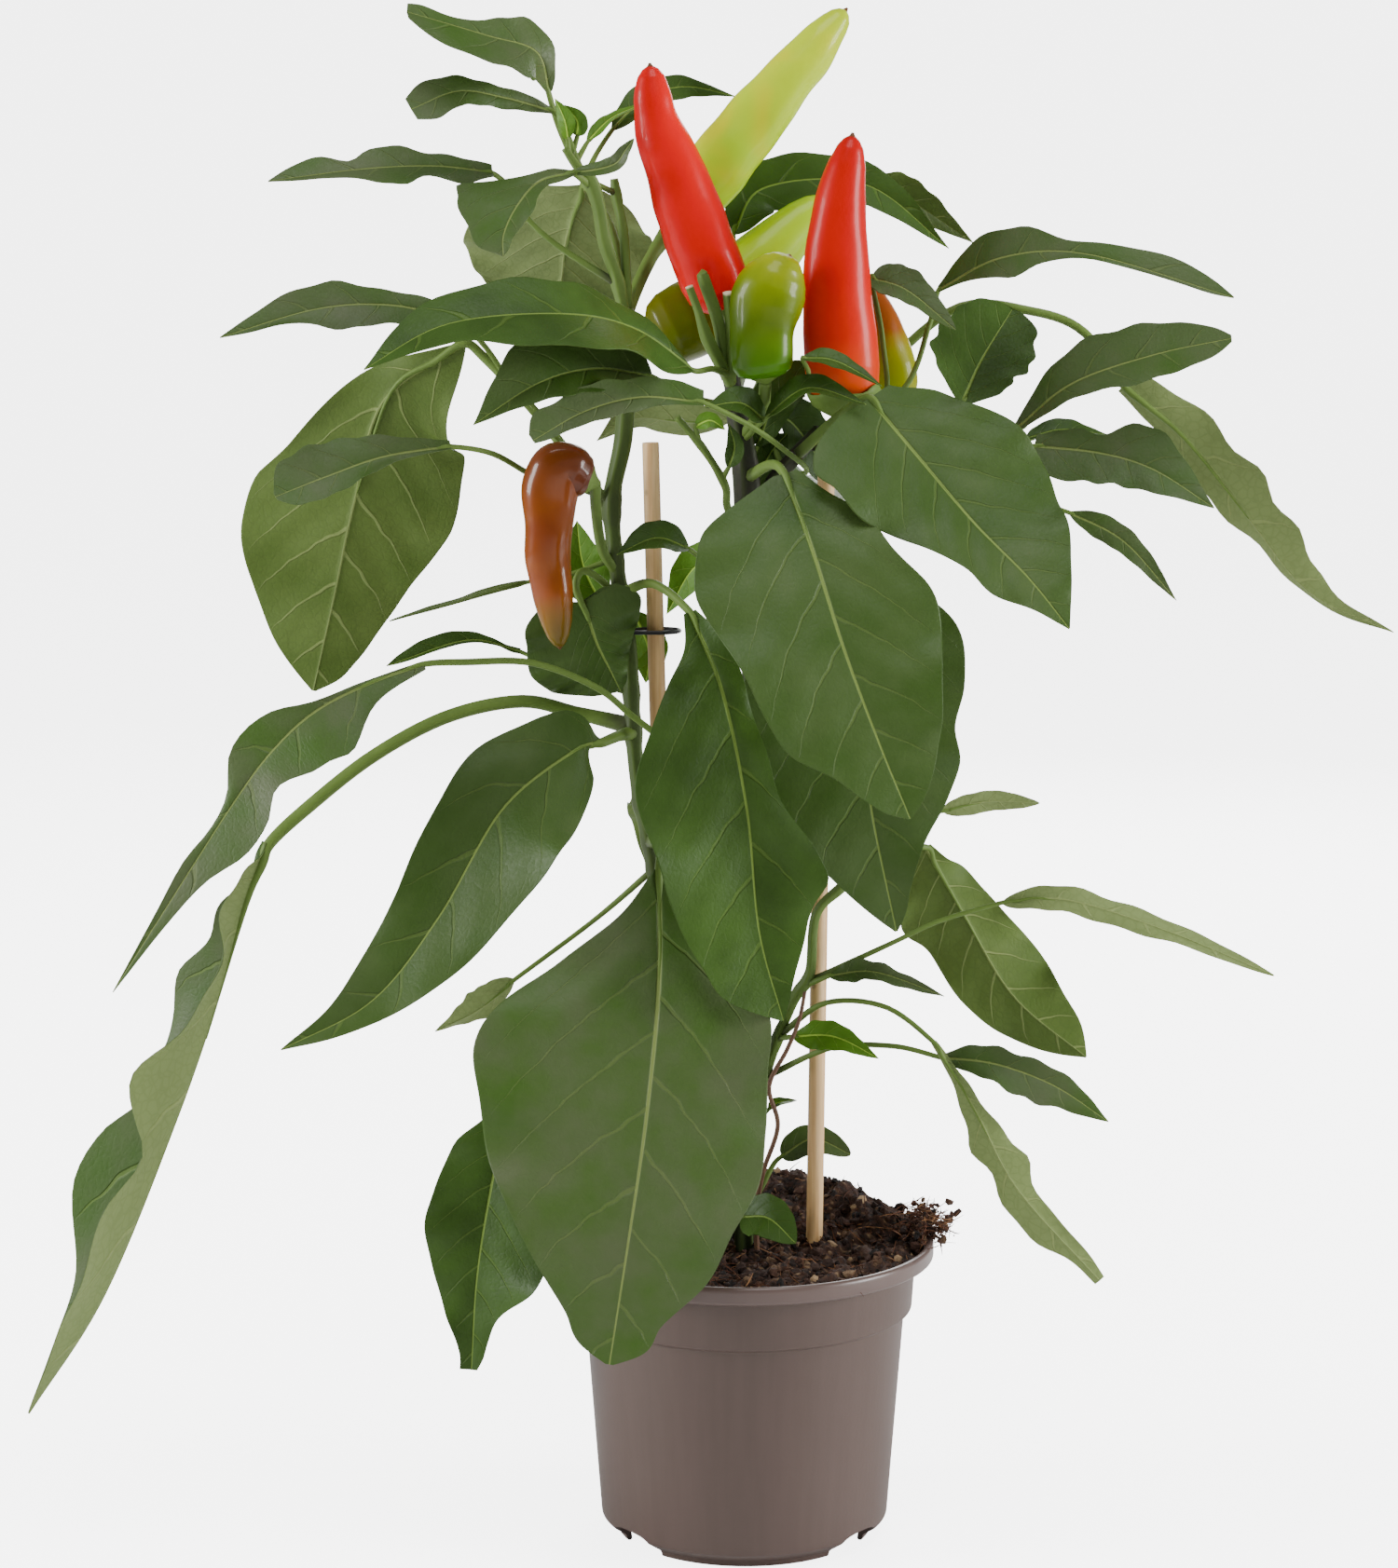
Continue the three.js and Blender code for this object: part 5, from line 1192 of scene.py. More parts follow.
def stalk_skin(leaf, stems):
    """A leaf's stalk: a tube from inside the stem to the blade, thicker where it joins the stem,
    then running on under the rib and thinning out."""
    radius = leaf.stalk_radius or 0.75 + 0.012 * sum(leaf.half)
    root = stem_point(stems[leaf.on], leaf.z)
    fine, along = spline(leaf.rib, 101)
    face = np.asarray(leaf.face, float)
    down = -unit(face - along * (along @ face)[:, None])
    drops = {0: 0.35, 8: 0.6, 22: 0.45, 48: 0.25}
    under = [tuple(fine[step] + down[step] * radius * drop) for step, drop in drops.items()]
    points = [root, *leaf.stalk, *under]
    factors = [1.35] + [1] * len(leaf.stalk) + [0.9, 0.68, 0.45, 0.15]
    line = [(*point, radius * factor) for point, factor in zip(points, factors)]
    grid, share, turn = tube(line, 12, 6 * len(points), up=leaf.face, section=stalk_section)
    stripe = np.clip(np.cos(3 * turn), 0, 1)
    return bark_skin(grid, 0.12, np.exp(-((share / 0.07) ** 2)), 0, stripe)


def stem_section(_, turn):
    """A stem has five low ridges."""
    return 1 + 0.07 * np.cos(5 * turn)


def bells(height, joints, reach):
    """The sum of bell curves over the height, one at each joint: exp(-(distance / reach)^2)."""
    return sum((np.exp(-(((height - joint) / reach) ** 2)) for joint in joints), 0 * height)


def stem_skin(points, joints, cut_end, age):
    """A stem tube with five low ridges, swollen by a bell curve at each joint's height, where its
    purple tinge is too. A stem that starts in the peat is carried down into it."""
    x, y, z, radius = points[0]
    if z < IN_PEAT:
        points = [(x, y, z - ROOT_DEPTH, radius), *points]
    grid, share, turn = tube(points, 20, 9 * len(points), section=stem_section)
    height = grid[..., 2].mean(axis=1, keepdims=True)
    middle = grid.mean(axis=1, keepdims=True)
    swell = 1 + 0.22 * np.minimum(bells(height, joints, 3.2), 1.2)
    grid = middle + (grid - middle) * swell[..., None]
    tinge = np.minimum(bells(height, joints, 6), 1) * age**2
    cut = np.clip((share - 0.985) / 0.01, 0, 1) * cut_end
    return bark_skin(grid, age, tinge, cut, np.clip(np.cos(5 * turn), 0, 1))


def pod_frame(pod, share):
    """The middle of a pod at shares of its path and the tangents there. Below 0 the first tangent
    goes straight on."""
    places, tangents, length = fine_curve(pod.path)
    inside = np.clip(share, 0, 1)
    along = unit(at_shares(tangents, inside))
    return at_shares(places, inside) + along * (np.minimum(share, 0) * length)[..., None], along


def calyx_skins(pod, stems):
    """The green cup on a pod's blunt end and the pod's stalk. The cup is a skin of rings round the
    pod's middle that runs out over the blunt end, turns at a rim with five soft points, and comes
    back inside."""
    share, part = np.array(CUP_SECTION).T
    part = part * pod.cup
    turn = round_turns(40)
    rim = np.clip(share / CUP_RIM, 0, 1)[:, None]
    soft_points = 0.03 * rim**2 * np.maximum(np.cos(5 * turn), -0.3)
    middle, along = pod_frame(pod, share[:, None] + soft_points)
    ups, sideways = frames(unit(along.mean(axis=1)), (0, 1, 0))
    reach = pod.radius * part[:, None] * (1 + 0.02 * np.cos(5 * turn)) * (0.97 + 0.02 * rim)
    grid = middle + reach[..., None] * ring_steps(turn, sideways, ups)
    cup = bark_skin(grid, 0, 0, 0, np.clip(np.cos(10 * turn), 0, 1) * 0.6)

    start, _ = pod_frame(pod, np.array([-0.03]))
    root = stem_point(stems[pod.on], pod.z)
    thick = pod.radius * 0.17
    between = [(*point, thick * 1.1) for point in pod.stalk]
    points = [(*root, thick), *between, (*start[0], pod.radius * 0.3 * pod.cup)]
    grid, share, turn = tube(points, 16, 8 * len(points), section=stem_section)
    joint = np.exp(-((share / 0.1) ** 2))
    return [cup, bark_skin(grid, 0.15, joint, 0, np.clip(np.cos(5 * turn), 0, 1))]


def pod_skin_grid(pod, seed, settings):
    """A pod: rings round its path with the radius from the profile, three faint lobes that fade
    towards the tip, soft dents from seeded waves, and a small dry point past the path's end."""
    share = 0.5 - 0.5 * np.cos(np.pi * np.linspace(0, 1, POD_ROWS))
    share = np.append(share, [place for place, _ in POD_POINT])
    on_path = np.minimum(share, 1)
    middle, along = pod_frame(pod, on_path)
    length = np.linalg.norm(np.subtract(pod.path[-1], pod.path[0]))
    middle = middle + along * (np.maximum(share - 1, 0) * length)[:, None]
    ups, sideways = frames(along, (0, 1, 0))
    turn = round_turns(POD_SIDES)
    part = gradient(share, [*pod.profile, *POD_POINT])
    lobes = 1 + pod.lobes * np.cos(3 * turn + 1) * (1 - on_path)[:, None] ** 0.5
    grid = (pod.radius * part[:, None] * lobes)[..., None] * ring_steps(turn, sideways, ups)
    dents = waves(middle[:, None] + grid, 17, 10, seed) * settings.dimples * pod.dimples
    dents = dents * np.minimum(1, 2 * part)[:, None]
    grid = middle[:, None] + grid + unit(grid) * dents[..., None]
    return {"points": grid, "along": on_path[:, None] + np.zeros(POD_SIDES)}


# Each plant's name, stems, leaves and pods, and how dark with age its main stem is
PLANTS = {
    "stem_left": ("left", STEMS_LEFT, LEAVES_LEFT, PODS_LEFT, 0.7),
    "stem_centre": ("centre", STEMS_CENTRE, LEAVES_CENTRE, PODS_CENTRE, 1),
    "shoot_basal": ("basal", STEMS_BASAL, LEAVES_BASAL, [], 0.3),
}


def bark_skins(stems, leaves, pods, main_age):
    """The skins of one plant's stems, leaf stalks, calyxes and pod stalks."""
    skins = []
    for name, points in stems.items():
        joints = [leaf.z for leaf in leaves if leaf.on == name]
        age = {"main": main_age, "fork": 1}.get(name, YOUNG_AGE)
        skins.append(stem_skin(points, joints, name in CUT_STUBS, age))
    skins.extend(stalk_skin(leaf, stems) for leaf in leaves)
    for pod in pods:
        skins.extend(calyx_skins(pod, stems))
    return skins


# Pot and peat


def rounded_profile(profile, radius, steps):
    """The profile with each corner turned into a small arc: a quadratic curve from a radius before
    the corner to a radius after it, with the corner as its handle. The two end points stay, and on
    a short side the radius is under half its length."""
    points = [np.asarray(p, float) for p in profile]
    out = [points[0][None]]
    u = np.linspace(0, 1, steps)[:, None]
    for before, corner, after in zip(points, points[1:], points[2:]):
        room = [min(radius, 0.45 * np.linalg.norm(other - corner)) for other in (before, after)]
        start = corner + unit(before - corner) * room[0]
        end = corner + unit(after - corner) * room[1]
        out.append((1 - u) ** 2 * start + 2 * u * (1 - u) * corner + u**2 * end)
    out.append(points[-1][None])
    return np.vstack(out)


def turned(profile, sides):
    """A profile of (radius, height) turned round the Z axis."""
    angle = round_turns(sides)
    r, z = profile[:, 0][:, None], profile[:, 1][:, None]
    return np.stack([r * np.cos(angle), r * np.sin(angle), z + 0 * angle], axis=-1)


def prism(outline, near, far, angle):
    """An outline of (x, z) points carried from y = near to y = far, and turned round Z until its
    +Y side looks along the angle."""
    flat = np.asarray(outline, float)
    ends = [np.insert(flat, 1, y, axis=1) for y in (near, far)]
    turn = math.radians(angle - 90)
    c, s = math.cos(turn), math.sin(turn)
    return np.stack(ends) @ np.array([[c, s, 0], [-s, c, 0], [0, 0, 1]])


def pot_openings():
    """The skins that are cut out of the pot: arched notches in its foot ring, round drains in its
    floor and slots under its lip. An arch is z = spring + rise * sin(a)^power over x = half width
    * cos(a), so steep at its sides and nearly level on top."""
    arch = [(NOTCH_HALF * math.cos(a), NOTCH_SPRING + NOTCH_RISE * math.sin(a) ** NOTCH_POWER)
            for a in np.linspace(0, np.pi, 15)]
    notch = [(NOTCH_HALF, NOTCH_FOOT), *arch, (-NOTCH_HALF, NOTCH_FOOT)]
    skins = [prism(notch, *NOTCH_REACH, angle) for angle in NOTCH_ANGLES]
    low, high = DRAIN_HEIGHTS
    drain = [(AXIS_GAP, low), (DRAIN_RADIUS, low), (DRAIN_RADIUS, high), (AXIS_GAP, high)]
    for angle in map(math.radians, DRAIN_ANGLES):
        centre = (DRAIN_CIRCLE * math.cos(angle), DRAIN_CIRCLE * math.sin(angle), 0)
        skins.append(turned(np.array(drain), 24) + centre)
    low, high = SLOT_HEIGHTS
    slot = [(-SLOT_HALF, low), (SLOT_HALF, low), (SLOT_HALF, high), (-SLOT_HALF, high)]
    skins.extend(prism(slot, *SLOT_REACH, angle) for angle in SLOT_ANGLES)
    return [{"points": grid} for grid in skins]


def carve(piece, cutter):
    """Takes the cutter out of the piece and leaves a plain mesh, with its moulded edges sharp."""
    modifier = piece.modifiers.new("cut", "BOOLEAN")
    modifier.operation = "DIFFERENCE"
    modifier.object = cutter
    modifier.solver = "EXACT"
    bpy.context.view_layer.update()
    view = bpy.context.evaluated_depsgraph_get()
    made = bpy.data.meshes.new_from_object(piece.evaluated_get(view))
    piece.modifiers.clear()
    piece.data = made
    made.set_sharp_from_angle(angle=math.radians(POT_SHARP))
    bpy.data.objects.remove(cutter)


def peat_height(x, y):
    """The peat's height: low at the front, heaped towards the back and a little to the right, in
    soft lumps, and with the heap falling off near the wall."""
    lumps = 1.1 * np.sin(0.21 * x + 1) * np.cos(0.17 * y) + 0.8 * np.sin(0.43 * x - 0.37 * y)
    heap = HEAP_BACK * np.maximum(0, (y - HEAP_START) / PEAT_RADIUS) ** 1.3
    heap = heap + HEAP_RIGHT * np.maximum(0, x / PEAT_RADIUS)
    near_wall = np.maximum(0, np.hypot(x, y) - 50) / 12
    return SOIL_LEVEL - 1 + lumps + heap * (1 - 0.45 * near_wall) + 1.2 * near_wall


def peat_grid():
    """The peat as one closed skin: rings from the middle out over the rough top, down inside the
    pot's wall and in again under it. The top is the peat's height plus seeded waves of three
    sizes, which are lower near the wall."""
    angle = round_turns(PEAT_SIDES)
    radius = np.linspace(0.6, 61.4, 74)[:, None]
    x, y = radius * np.cos(angle), radius * np.sin(angle)
    place = np.stack([x, y, 0 * x], axis=-1)
    rough = 0.9 * waves(place, 9, 14, 3) + 0.55 * waves(place, 3.6, 16, 4)
    rough = rough + 0.35 * waves(place, 1.8, 18, 5)
    fade = np.clip((62.5 - radius) / 3, 0.2, 1)
    top = np.stack([x, y, peat_height(x, y) + rough * fade], axis=-1)
    grid = np.concatenate([top, turned(np.array(PEAT_WALL), PEAT_SIDES)])
    fleck = np.clip(0.35 + 0.3 * waves(grid, 2.6, 12, 6), 0, 1)
    return {"points": grid, "tone": fleck}


def crumbs(count, sizes, seed, clump=None):
    """Loose crumbs: seeded copies of a lumpy twelve-cornered ball, each with its own size, turn
    and tone. Most are small, because the size grows with the cube of the draw."""
    rng = np.random.default_rng(seed)
    axes = np.linalg.qr(rng.normal(size=(count, 3, 3)))[0]
    axes *= np.sign(np.linalg.det(axes))[:, None, None]
    lumpy = np.array(BALL_CORNERS) / BALL_RADIUS * rng.uniform(0.6, 1.3, (count, 12, 1))
    lumpy = lumpy * rng.uniform(0.5, 1.2, (count, 1, 3))
    size = sizes[0] + (sizes[1] - sizes[0]) * rng.random(count) ** 3
    place = loose_places(rng, count, clump)
    points = np.einsum("nij,nkj->nki", axes, lumpy) * size[:, None, None] + place[:, None]
    index = np.array(BALL_FACES) + 12 * np.arange(count)[:, None, None]
    tone = rng.normal(0.32, 0.2, count) + 0.5 * (rng.random(count) > 0.93)
    return points.reshape(-1, 3), index.reshape(-1, 3), np.repeat(np.clip(tone, 0, 1), 12)


def loose_places(rng, count, clump):
    """Seeded places: in a soft ball round the clump's centre, or without a clump over a disc on
    the peat."""
    if clump:
        centre, spread = clump
        return np.asarray(centre) + rng.normal(size=(count, 3)) * np.asarray(spread)
    radius = 60.5 * np.sqrt(rng.random(count))
    angle = rng.uniform(0, 2 * np.pi, count)
    x, y = radius * np.cos(angle), radius * np.sin(angle)
    return np.stack([x, y, peat_height(x, y) + rng.uniform(-0.4, 1.1, count)], axis=-1)


def fibres(count, lengths, seed, clump=None):
    """Peat fibres: seeded thin bent strands with three sides, along place + length * (heading * s
    + bend * s * s), thickest in the middle."""
    rng = np.random.default_rng(seed)
    place = loose_places(rng, count, clump)
    heading = unit(rng.normal(size=(count, 3)) * (1, 1, 0.45))
    bend = rng.normal(size=(count, 3)) * 0.35
    s = np.linspace(-0.5, 0.5, FIBRE_RINGS)[None, :, None]
    length = rng.uniform(*lengths, count)[:, None, None]
    middle = place[:, None] + length * (heading[:, None] * s + bend[:, None] * (s**2))
    side = unit(np.cross(heading, rng.normal(size=(count, 3))))
    other = np.cross(heading, side)
    turn = np.array([0, 2.1, 4.2])
    thick = rng.uniform(0.14, 0.34, count)[:, None, None] * (1 - 1.4 * np.abs(s)).clip(0.25)
    around = ring_steps(turn, side, other)
    points = middle[:, :, None] + thick[..., None] * around[:, None]
    corners = FIBRE_RINGS * len(turn)
    ring = np.arange(corners).reshape(FIBRE_RINGS, -1)
    after = np.roll(ring, -1, axis=1)
    walls = np.stack([ring[:-1], after[:-1], after[1:], ring[1:]], axis=-1).reshape(-1, 4)
    ends = [ring[0][::-1], ring[-1]]
    walls = np.vstack([walls[:, [0, 1, 2]], walls[:, [0, 2, 3]], ends])
    index = walls + corners * np.arange(count)[:, None, None]
    tone = np.repeat(np.clip(rng.normal(0.45, 0.2, count), 0, 1), corners)
    return points.reshape(-1, 3), index.reshape(-1, 3), tone


def loose_object(name, parts, material):
    """One object from loose parts, each of points in millimetres, triangles and a tone for each
    point."""
    points, faces, tones = zip(*parts)
    starts = np.cumsum([0] + [len(part) for part in points])
    faces = np.vstack([index + start for index, start in zip(faces, starts)])
    mesh = bpy.data.meshes.new(name)
    mesh.from_pydata((np.vstack(points) * MM).tolist(), [], faces.tolist())
    attribute = mesh.attributes.new("tone", "FLOAT", "POINT")
    attribute.data.foreach_set("value", np.concatenate(tones).astype(np.float32))
    mesh.update()
    return linked(name, mesh, material)


# Stakes, tie and strand


def stake_at(name, z):
    """A stake's middle at a height."""
    foot, top = np.array(STAKES[name])
    share = (z - STAKE_FOOT) / (STAKE_TOP - STAKE_FOOT)
    return (*(foot + (top - foot) * share), z)


def cane_section(share, turn):
    """A cane is nearly round, with a flat side and fine splits along it."""
    flattened = 1 - 0.04 * np.cos(2 * turn + 0.6)
    return flattened + 0.008 * np.sin(9 * turn) + 0.006 * np.sin(25 * share + 3 * turn)


def cane_skin(name):
    """A cane from its foot in the peat to its sawn top, which its last short step bevels."""
    heights = np.linspace(STAKE_FOOT, STAKE_TOP - SAWN_BEVEL, 30)
    points = [(*stake_at(name, z), STAKE_RADIUS * 0.985) for z in heights]
    points.append((*stake_at(name, STAKE_TOP), STAKE_RADIUS * 0.86))
    grid, _, _ = tube(points, 28, 120, section=cane_section)
    return {"points": grid}


def loop_points():
    """The tie's middle line: round the stem on one side and round the stake with some slack on the
    other, with straight runs between, a smooth closed line."""
    stem = np.array(stem_point(STEMS_LEFT["main"], TIE_HEIGHT)[:2])
    stake = np.array(stake_at("stake_left", TIE_HEIGHT)[:2]) + (TIE_SLACK, 0)
    near, far = TIE_STEM_RADIUS + TIE_CLEAR, STAKE_RADIUS + TIE_SLACK + TIE_CLEAR
    apart = stake - stem
    turn = math.atan2(apart[1], apart[0])
    lean = math.acos((near - far) / np.linalg.norm(apart))
    first = turn + np.linspace(-lean, lean, 30)
    second = turn + np.linspace(lean, 2 * np.pi - lean, 30)
    right = stake + far * np.stack([np.cos(first), np.sin(first)], axis=-1)
    left = stem + near * np.stack([np.cos(second), np.sin(second)], axis=-1)
    return np.insert(np.vstack([right, left]), 2, TIE_HEIGHT, axis=1)


def tie_skin():
    """The tie: a round wire carried along its loop, closed end to end."""
    line = loop_points()
    outward = unit(line - line.mean(axis=0))
    upward = np.array([[0, 0, 1.0]])
    ring = line[:, None] + TIE_WIRE * ring_steps(round_turns(12), outward, upward)
    return {"points": ring.transpose(1, 0, 2)}


# Studio


def build_floor(settings):
    """A plain pale floor, a wide square at the height of the pot's foot. It is lit white acrylic,
    which the camera sees as bright and even as the backdrop."""
    half = FLOOR_HALF
    corners = [(-half, -half, 0), (half, -half, 0), (half, half, 0), (-half, half, 0)]
    mesh = bpy.data.meshes.new("studio_floor")
    mesh.from_pydata(corners, [], [(0, 1, 2, 3)])
    material, tree = new_material("lit_white_acrylic")
    seen = add(tree, "LightPath", out="Is Camera Ray")
    glow = add(tree, "MapRange", {0: seen, 3: 0.0, 4: BACKDROP - AMBIENT})
    finish_material(tree, Base_Color=(*settings.floor, 1), Roughness=0.9,
                    Emission_Color=WHITE, Emission_Strength=glow)
    linked("studio_floor", mesh, material)


def build_lights(context, settings):
    """A pale world and four large area lamps that face the plant: a key at the left, a fill at the
    right, one above and one behind. The world looks brighter than it lights the plant."""
    world = bpy.data.worlds.new("pale_studio")
    context.scene.world = world
    world.use_nodes = True
    tree = world.node_tree
    tree.nodes.clear()
    seen = add(tree, "LightPath", out="Is Camera Ray")
    strength = add(tree, "MapRange", {0: seen, 3: AMBIENT, 4: BACKDROP})
    pale = add(tree, "Background", {"Color": WHITE, "Strength": strength})
    add(tree, "OutputWorld", {"Surface": pale})
    for name, place, size, power in LAMPS:
        light = bpy.data.lights.new(name, "AREA")
        light.size = size
        light.energy = getattr(settings, power)
        lamp = linked(name, light)
        lamp.location = place
        lamp.rotation_euler = to_euler(np.subtract(LAMP_TARGET, place))


def to_euler(direction):
    """The turn that points an object's own -Z along a direction."""
    x, y, z = unit(np.asarray(direction, float))
    return (math.pi / 2 + math.asin(z), 0, math.atan2(-x, y))


def build_camera(context, settings):
    """The camera stands level in front of the plant and looks a little down."""
    data = bpy.data.cameras.new("studio_camera")
    data.sensor_fit = "VERTICAL"
    data.sensor_height = CAMERA_SENSOR
    data.lens = settings.lens
    camera = linked("studio_camera", data)
    camera.location = [value * MM for value in CAMERA_MM]
    camera.rotation_euler = (math.radians(90 - CAMERA_PITCH), 0, 0)
    context.scene.camera = camera


# Settings


class ChilliLeafSettings(bpy.types.PropertyGroup):
    """Sizes and colours of the leaves and stems."""

    thickness: bpy.props.FloatProperty(
        name="Blade thickness", description="Thickness of a leaf blade",
        default=0.34 * MM, min=0.1 * MM, max=1 * MM, unit="LENGTH")
    waviness: bpy.props.FloatProperty(
        name="Waviness", description="Height of the margin's waves, as a factor",
        default=1, min=0, max=2, subtype="FACTOR")
    upper_dark: bpy.props.FloatVectorProperty(
        name="Upper face, dark", description="Darker green of the upper face",
        default=linear("#29400f")[:3], min=0, max=1, subtype="COLOR")
    upper_light: bpy.props.FloatVectorProperty(
        name="Upper face, light", description="Lighter green of the upper face",
        default=linear("#38531a")[:3], min=0, max=1, subtype="COLOR")
    under: bpy.props.FloatVectorProperty(
        name="Underside", description="Olive green of the underside",
        default=linear("#455a20")[:3], min=0, max=1, subtype="COLOR")


class ChilliPodSettings(bpy.types.PropertyGroup):
    """Finish of the pods."""

    gloss: bpy.props.FloatProperty(
        name="Wax roughness", description="Roughness of the skin under its wax",
        default=0.36, min=0.05, max=1, subtype="FACTOR")
    dimples: bpy.props.FloatProperty(
        name="Dimples", description="Depth of the soft dents, as a factor",
        default=1, min=0, max=3, subtype="FACTOR")


class ChilliPotSettings(bpy.types.PropertyGroup):
    """Sizes and colours of the pot and the peat."""

    corner: bpy.props.FloatProperty(
        name="Corner radius", description="Rounding of the pot's moulded corners",
        default=0.9 * MM, min=0.1 * MM, max=3 * MM, unit="LENGTH")
    colour: bpy.props.FloatVectorProperty(
        name="Pot colour", description="Taupe of the moulded pot",
        default=linear("#423129")[:3], min=0, max=1, subtype="COLOR")
    crumbs: bpy.props.IntProperty(
        name="Crumbs", description="Number of loose crumbs on the peat",
        default=1500, min=0, max=4000)
    fibres: bpy.props.IntProperty(
        name="Fibres", description="Number of loose fibres on the peat",
        default=480, min=0, max=1500)


class ChilliStudioSettings(bpy.types.PropertyGroup):
    """Lights, floor and camera."""

    lens: bpy.props.FloatProperty(
        name="Lens", description="Focal length in millimetres on a 36 mm high sensor",
        default=CAMERA_LENS, min=20, max=300, unit="CAMERA")
    key: bpy.props.FloatProperty(
        name="Key light", description="Power of the large light at the left",
        default=54, min=0, max=500, unit="POWER")
    fill: bpy.props.FloatProperty(
        name="Fill light", description="Power of the large light at the right",
        default=56, min=0, max=500, unit="POWER")
    top: bpy.props.FloatProperty(
        name="Top and back lights", description="Power of each of the lights above and behind",
        default=19, min=0, max=500, unit="POWER")
    floor: bpy.props.FloatVectorProperty(
        name="Floor", description="Colour of the plain floor",
        default=linear("#f4f4f4")[:3], min=0, max=1, subtype="COLOR")


# Operators


class CHILLI_OT_pot(bpy.types.Operator):
    """Turns the pot's profile and cuts its drain notches, floor drains and hanger slots"""

    bl_idname = "chilli.build_pot"
    bl_label = "Build Pot"

    def execute(self, context):
        settings = context.scene.chilli_pot
        material = moulded_polypropylene(settings)
        profile = rounded_profile(POT_PROFILE, settings.corner / MM, 5)
        pot = mesh_object("pot_moulding", [{"points": turned(profile, POT_SIDES)}], material)
        carve(pot, mesh_object("pot_cutter", pot_openings(), material))
        settle(pot, "pot_plastic", "pot")
        return {"FINISHED"}


class CHILLI_OT_peat(bpy.types.Operator):
    """Lays the rough peat bed with its loose crumbs and fibres, and the clump over the lip"""

    bl_idname = "chilli.build_peat"
    bl_label = "Build Peat"

    def execute(self, context):
        settings = context.scene.chilli_pot
        material = moist_peat("moist_peat", "#120b08", "#3e261a", "#8d7456")
        settle(mesh_object("peat_bed", [peat_grid()], material), "peat", "soil")
        parts = [crumbs(settings.crumbs, CRUMB_SIZES, 11),
                 crumbs(CLUMP_PIECES, CLUMP_CRUMB_SIZES, 12, CLUMP)]
        settle(loose_object("peat_crumbs", parts, material), "peat", "soil")
        parts = [fibres(settings.fibres, FIBRE_LENGTHS, 13),
                 fibres(CLUMP_PIECES, CLUMP_FIBRE_LENGTHS, 14, CLUMP)]
        # Dry fibres are redder and paler than the peat that they lie on
        material = moist_peat("dry_peat_fibre", "#24130c", "#58331f", "#9a7048")
        settle(loose_object("peat_fibres", parts, material), "peat", "soil")
        return {"FINISHED"}


class CHILLI_OT_stakes(bpy.types.Operator):
    """Cuts the two bamboo canes to length"""

    bl_idname = "chilli.build_stakes"
    bl_label = "Build Stakes"

    def execute(self, context):
        material = bare_bamboo()
        for name in STAKES:
            cane = name.replace("stake", "cane")
            made = mesh_object(cane, [cane_skin(name)], material, sharp=CANE_SHARP)
            settle(made, "bamboo", name)
        return {"FINISHED"}


class CHILLI_OT_tie(bpy.types.Operator):
    """Bends the black wire loop that holds the left stem to its stake"""

    bl_idname = "chilli.build_tie"
    bl_label = "Build Tie"

    def execute(self, context):
        # Plastic-coated wire is nearly black with a soft satin shine
        material = plain_finish("black_coated_wire", "#141517", "#232528", 700, 0.42, 0.15)
        settle(mesh_object("wire_loop", [tie_skin()], material), "tie_plastic", "wire_tie")
        return {"FINISHED"}


class CHILLI_OT_strand(bpy.types.Operator):
    """Hangs the thin dried strand beside the low shoot"""

    bl_idname = "chilli.build_strand"
    bl_label = "Build Dried Strand"

    def execute(self, context):
        # A dried shoot is dull brown and fibrous
        material = plain_finish("dried_plant_fibre", "#6b4a30", "#3d2617", 350, 0.7, 0.5)
        grid, _, _ = tube(STRAND, 10, 90)
        strand = mesh_object("dried_strand", [{"points": grid}], material)
        settle(strand, "dry_stalk", "strand_dry")
        return {"FINISHED"}


class CHILLI_OT_plants(bpy.types.Operator):
    """Grows the three leafy stems with their stalks, calyxes and blades"""

    bl_idname = "chilli.build_plants"
    bl_label = "Build Stems and Leaves"

    def execute(self, context):
        bark = green_stem()
        settings = context.scene.chilli_leaves
        leaf_material = chilli_leaf(settings)
        for order, (node, plant) in enumerate(PLANTS.items()):
            label, stems, leaves, pods, main_age = plant
            skins = bark_skins(stems, leaves, pods, main_age)
            settle(mesh_object(f"{label}_stem", skins, bark), "foliage", node)
            for kind, wanted in (("broad", True), ("narrow", False)):
                blades = [blade_skin(leaf, 100 * order + number, settings)
                          for number, leaf in enumerate(leaves) if is_broad(leaf) == wanted]
                if blades:
                    made = mesh_object(f"{label}_leaves_{kind}", blades, leaf_material)
                    settle(made, "foliage", node)
        return {"FINISHED"}


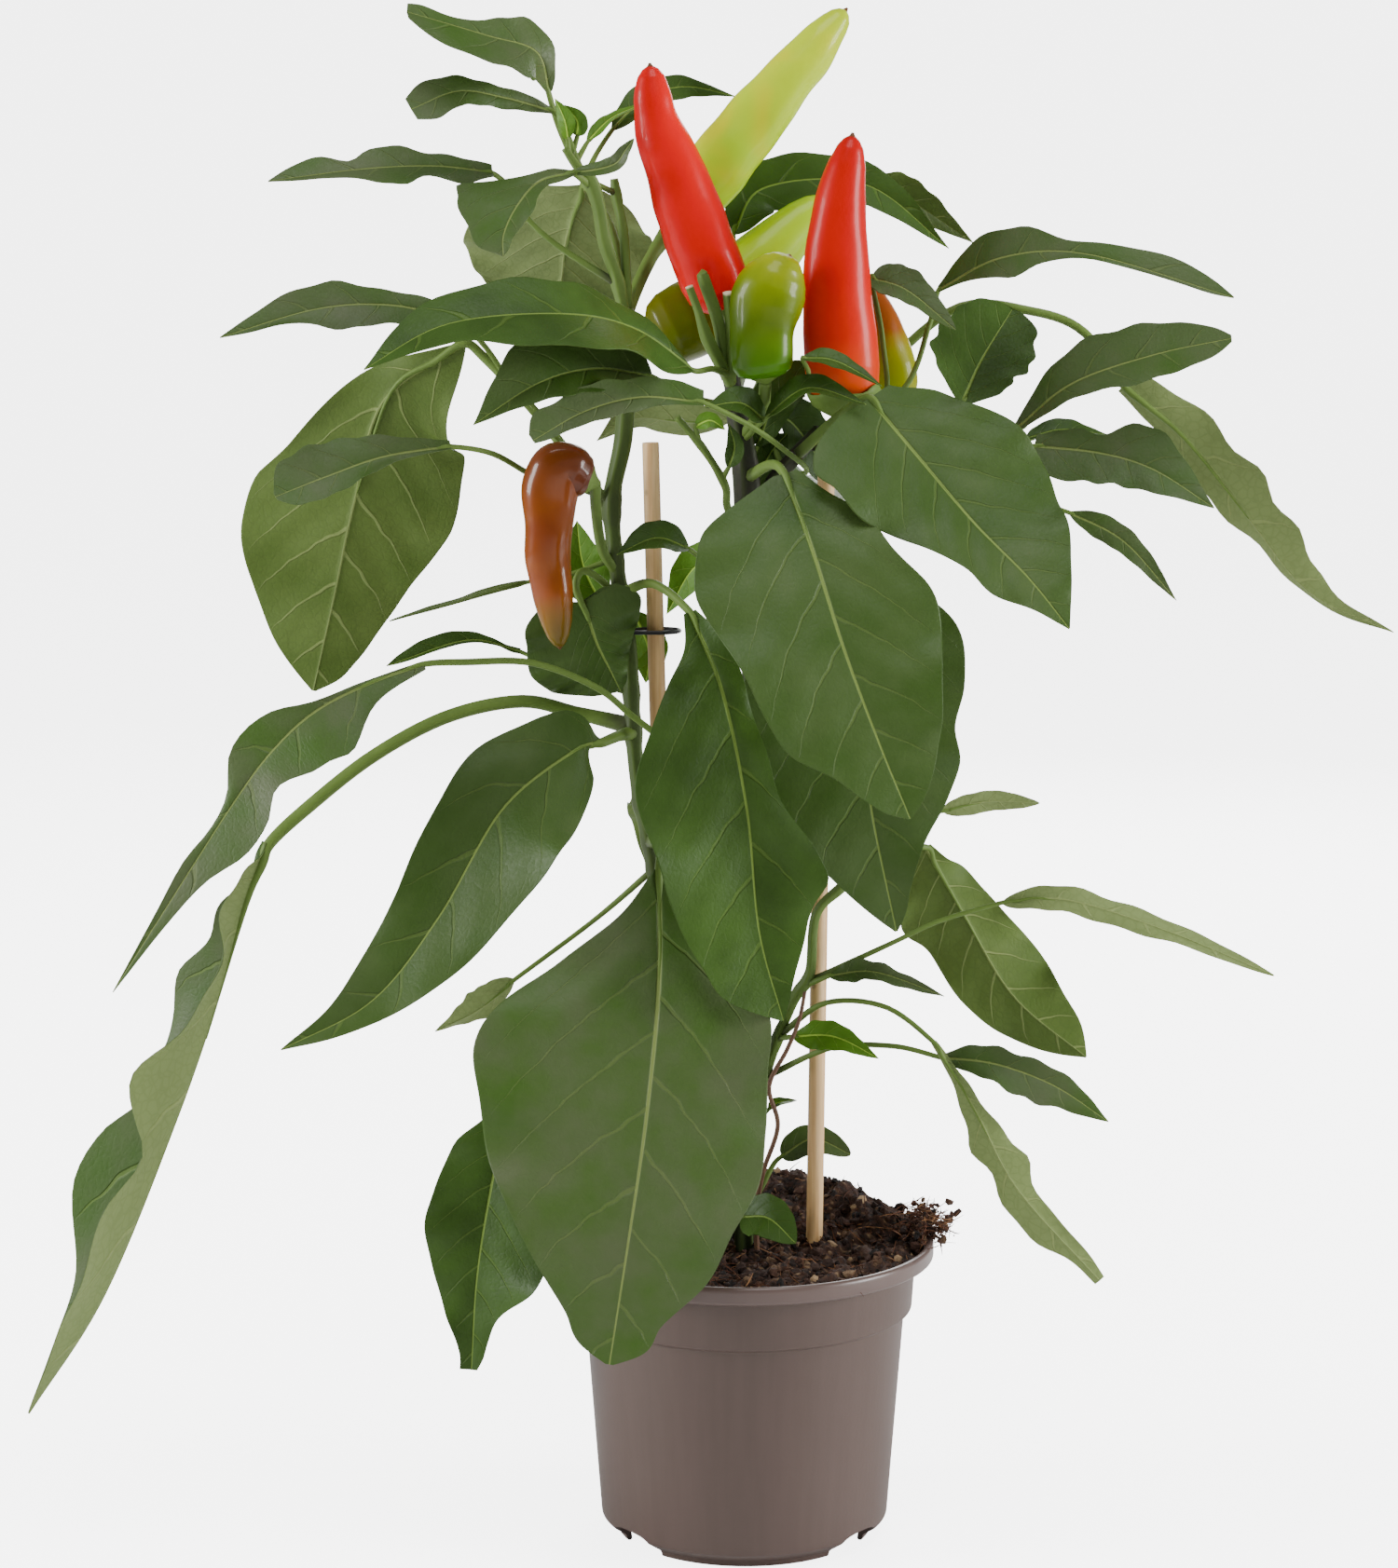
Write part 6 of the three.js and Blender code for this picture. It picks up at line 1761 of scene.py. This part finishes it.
class CHILLI_OT_pods(bpy.types.Operator):
    """Shapes the seven pods over their paths"""

    bl_idname = "chilli.build_pods"
    bl_label = "Build Pods"

    def execute(self, context):
        settings = context.scene.chilli_pods
        for number, pod in enumerate(PODS_LEFT + PODS_CENTRE):
            name = pod.node.removeprefix("pod_") + "_chilli"
            skin = pod_skin_grid(pod, 40 + number, settings)
            made = mesh_object(name, [skin], pod_skin(pod, settings))
            settle(made, pod.slot, pod.node)
        return {"FINISHED"}


class CHILLI_OT_studio(bpy.types.Operator):
    """Sets the pale floor, the soft lights and the camera at the photographed angle"""

    bl_idname = "chilli.build_studio"
    bl_label = "Build Studio"

    def execute(self, context):
        settings = context.scene.chilli_studio
        build_floor(settings)
        build_lights(context, settings)
        build_camera(context, settings)
        return {"FINISHED"}


class CHILLI_PT_panel(bpy.types.Panel):
    """Lists the operators and the settings"""

    bl_idname = "CHILLI_PT_panel"
    bl_label = "Potted Chilli Pepper"
    bl_space_type = "VIEW_3D"
    bl_region_type = "UI"
    bl_category = "Chilli"

    def draw(self, context):
        for operator in OPERATORS:
            self.layout.operator(operator.bl_idname)
        for name, group in SETTINGS.items():
            box = self.layout.box()
            for value in group.__annotations__:
                box.prop(getattr(context.scene, name), value)


SETTINGS = {
    "chilli_leaves": ChilliLeafSettings,
    "chilli_pods": ChilliPodSettings,
    "chilli_pot": ChilliPotSettings,
    "chilli_studio": ChilliStudioSettings,
}
OPERATORS = [
    CHILLI_OT_studio, CHILLI_OT_pot, CHILLI_OT_peat, CHILLI_OT_stakes, CHILLI_OT_tie,
    CHILLI_OT_strand, CHILLI_OT_plants, CHILLI_OT_pods,
]


def register():
    """Registers the settings, the operators and the panel."""
    for name, group in SETTINGS.items():
        bpy.utils.register_class(group)
        setattr(bpy.types.Scene, name, bpy.props.PointerProperty(type=group))
    for kind in [*OPERATORS, CHILLI_PT_panel]:
        bpy.utils.register_class(kind)


def unregister():
    """Takes them away again, in the other order."""
    for kind in [CHILLI_PT_panel, *reversed(OPERATORS)]:
        bpy.utils.unregister_class(kind)
    for name, group in reversed(SETTINGS.items()):
        delattr(bpy.types.Scene, name)
        bpy.utils.unregister_class(group)


def main():
    """Registers the classes and builds everything in order."""
    register()
    for operator in OPERATORS:
        group, name = operator.bl_idname.split(".")
        getattr(getattr(bpy.ops, group), name)()


if __name__ == "__main__":
    main()
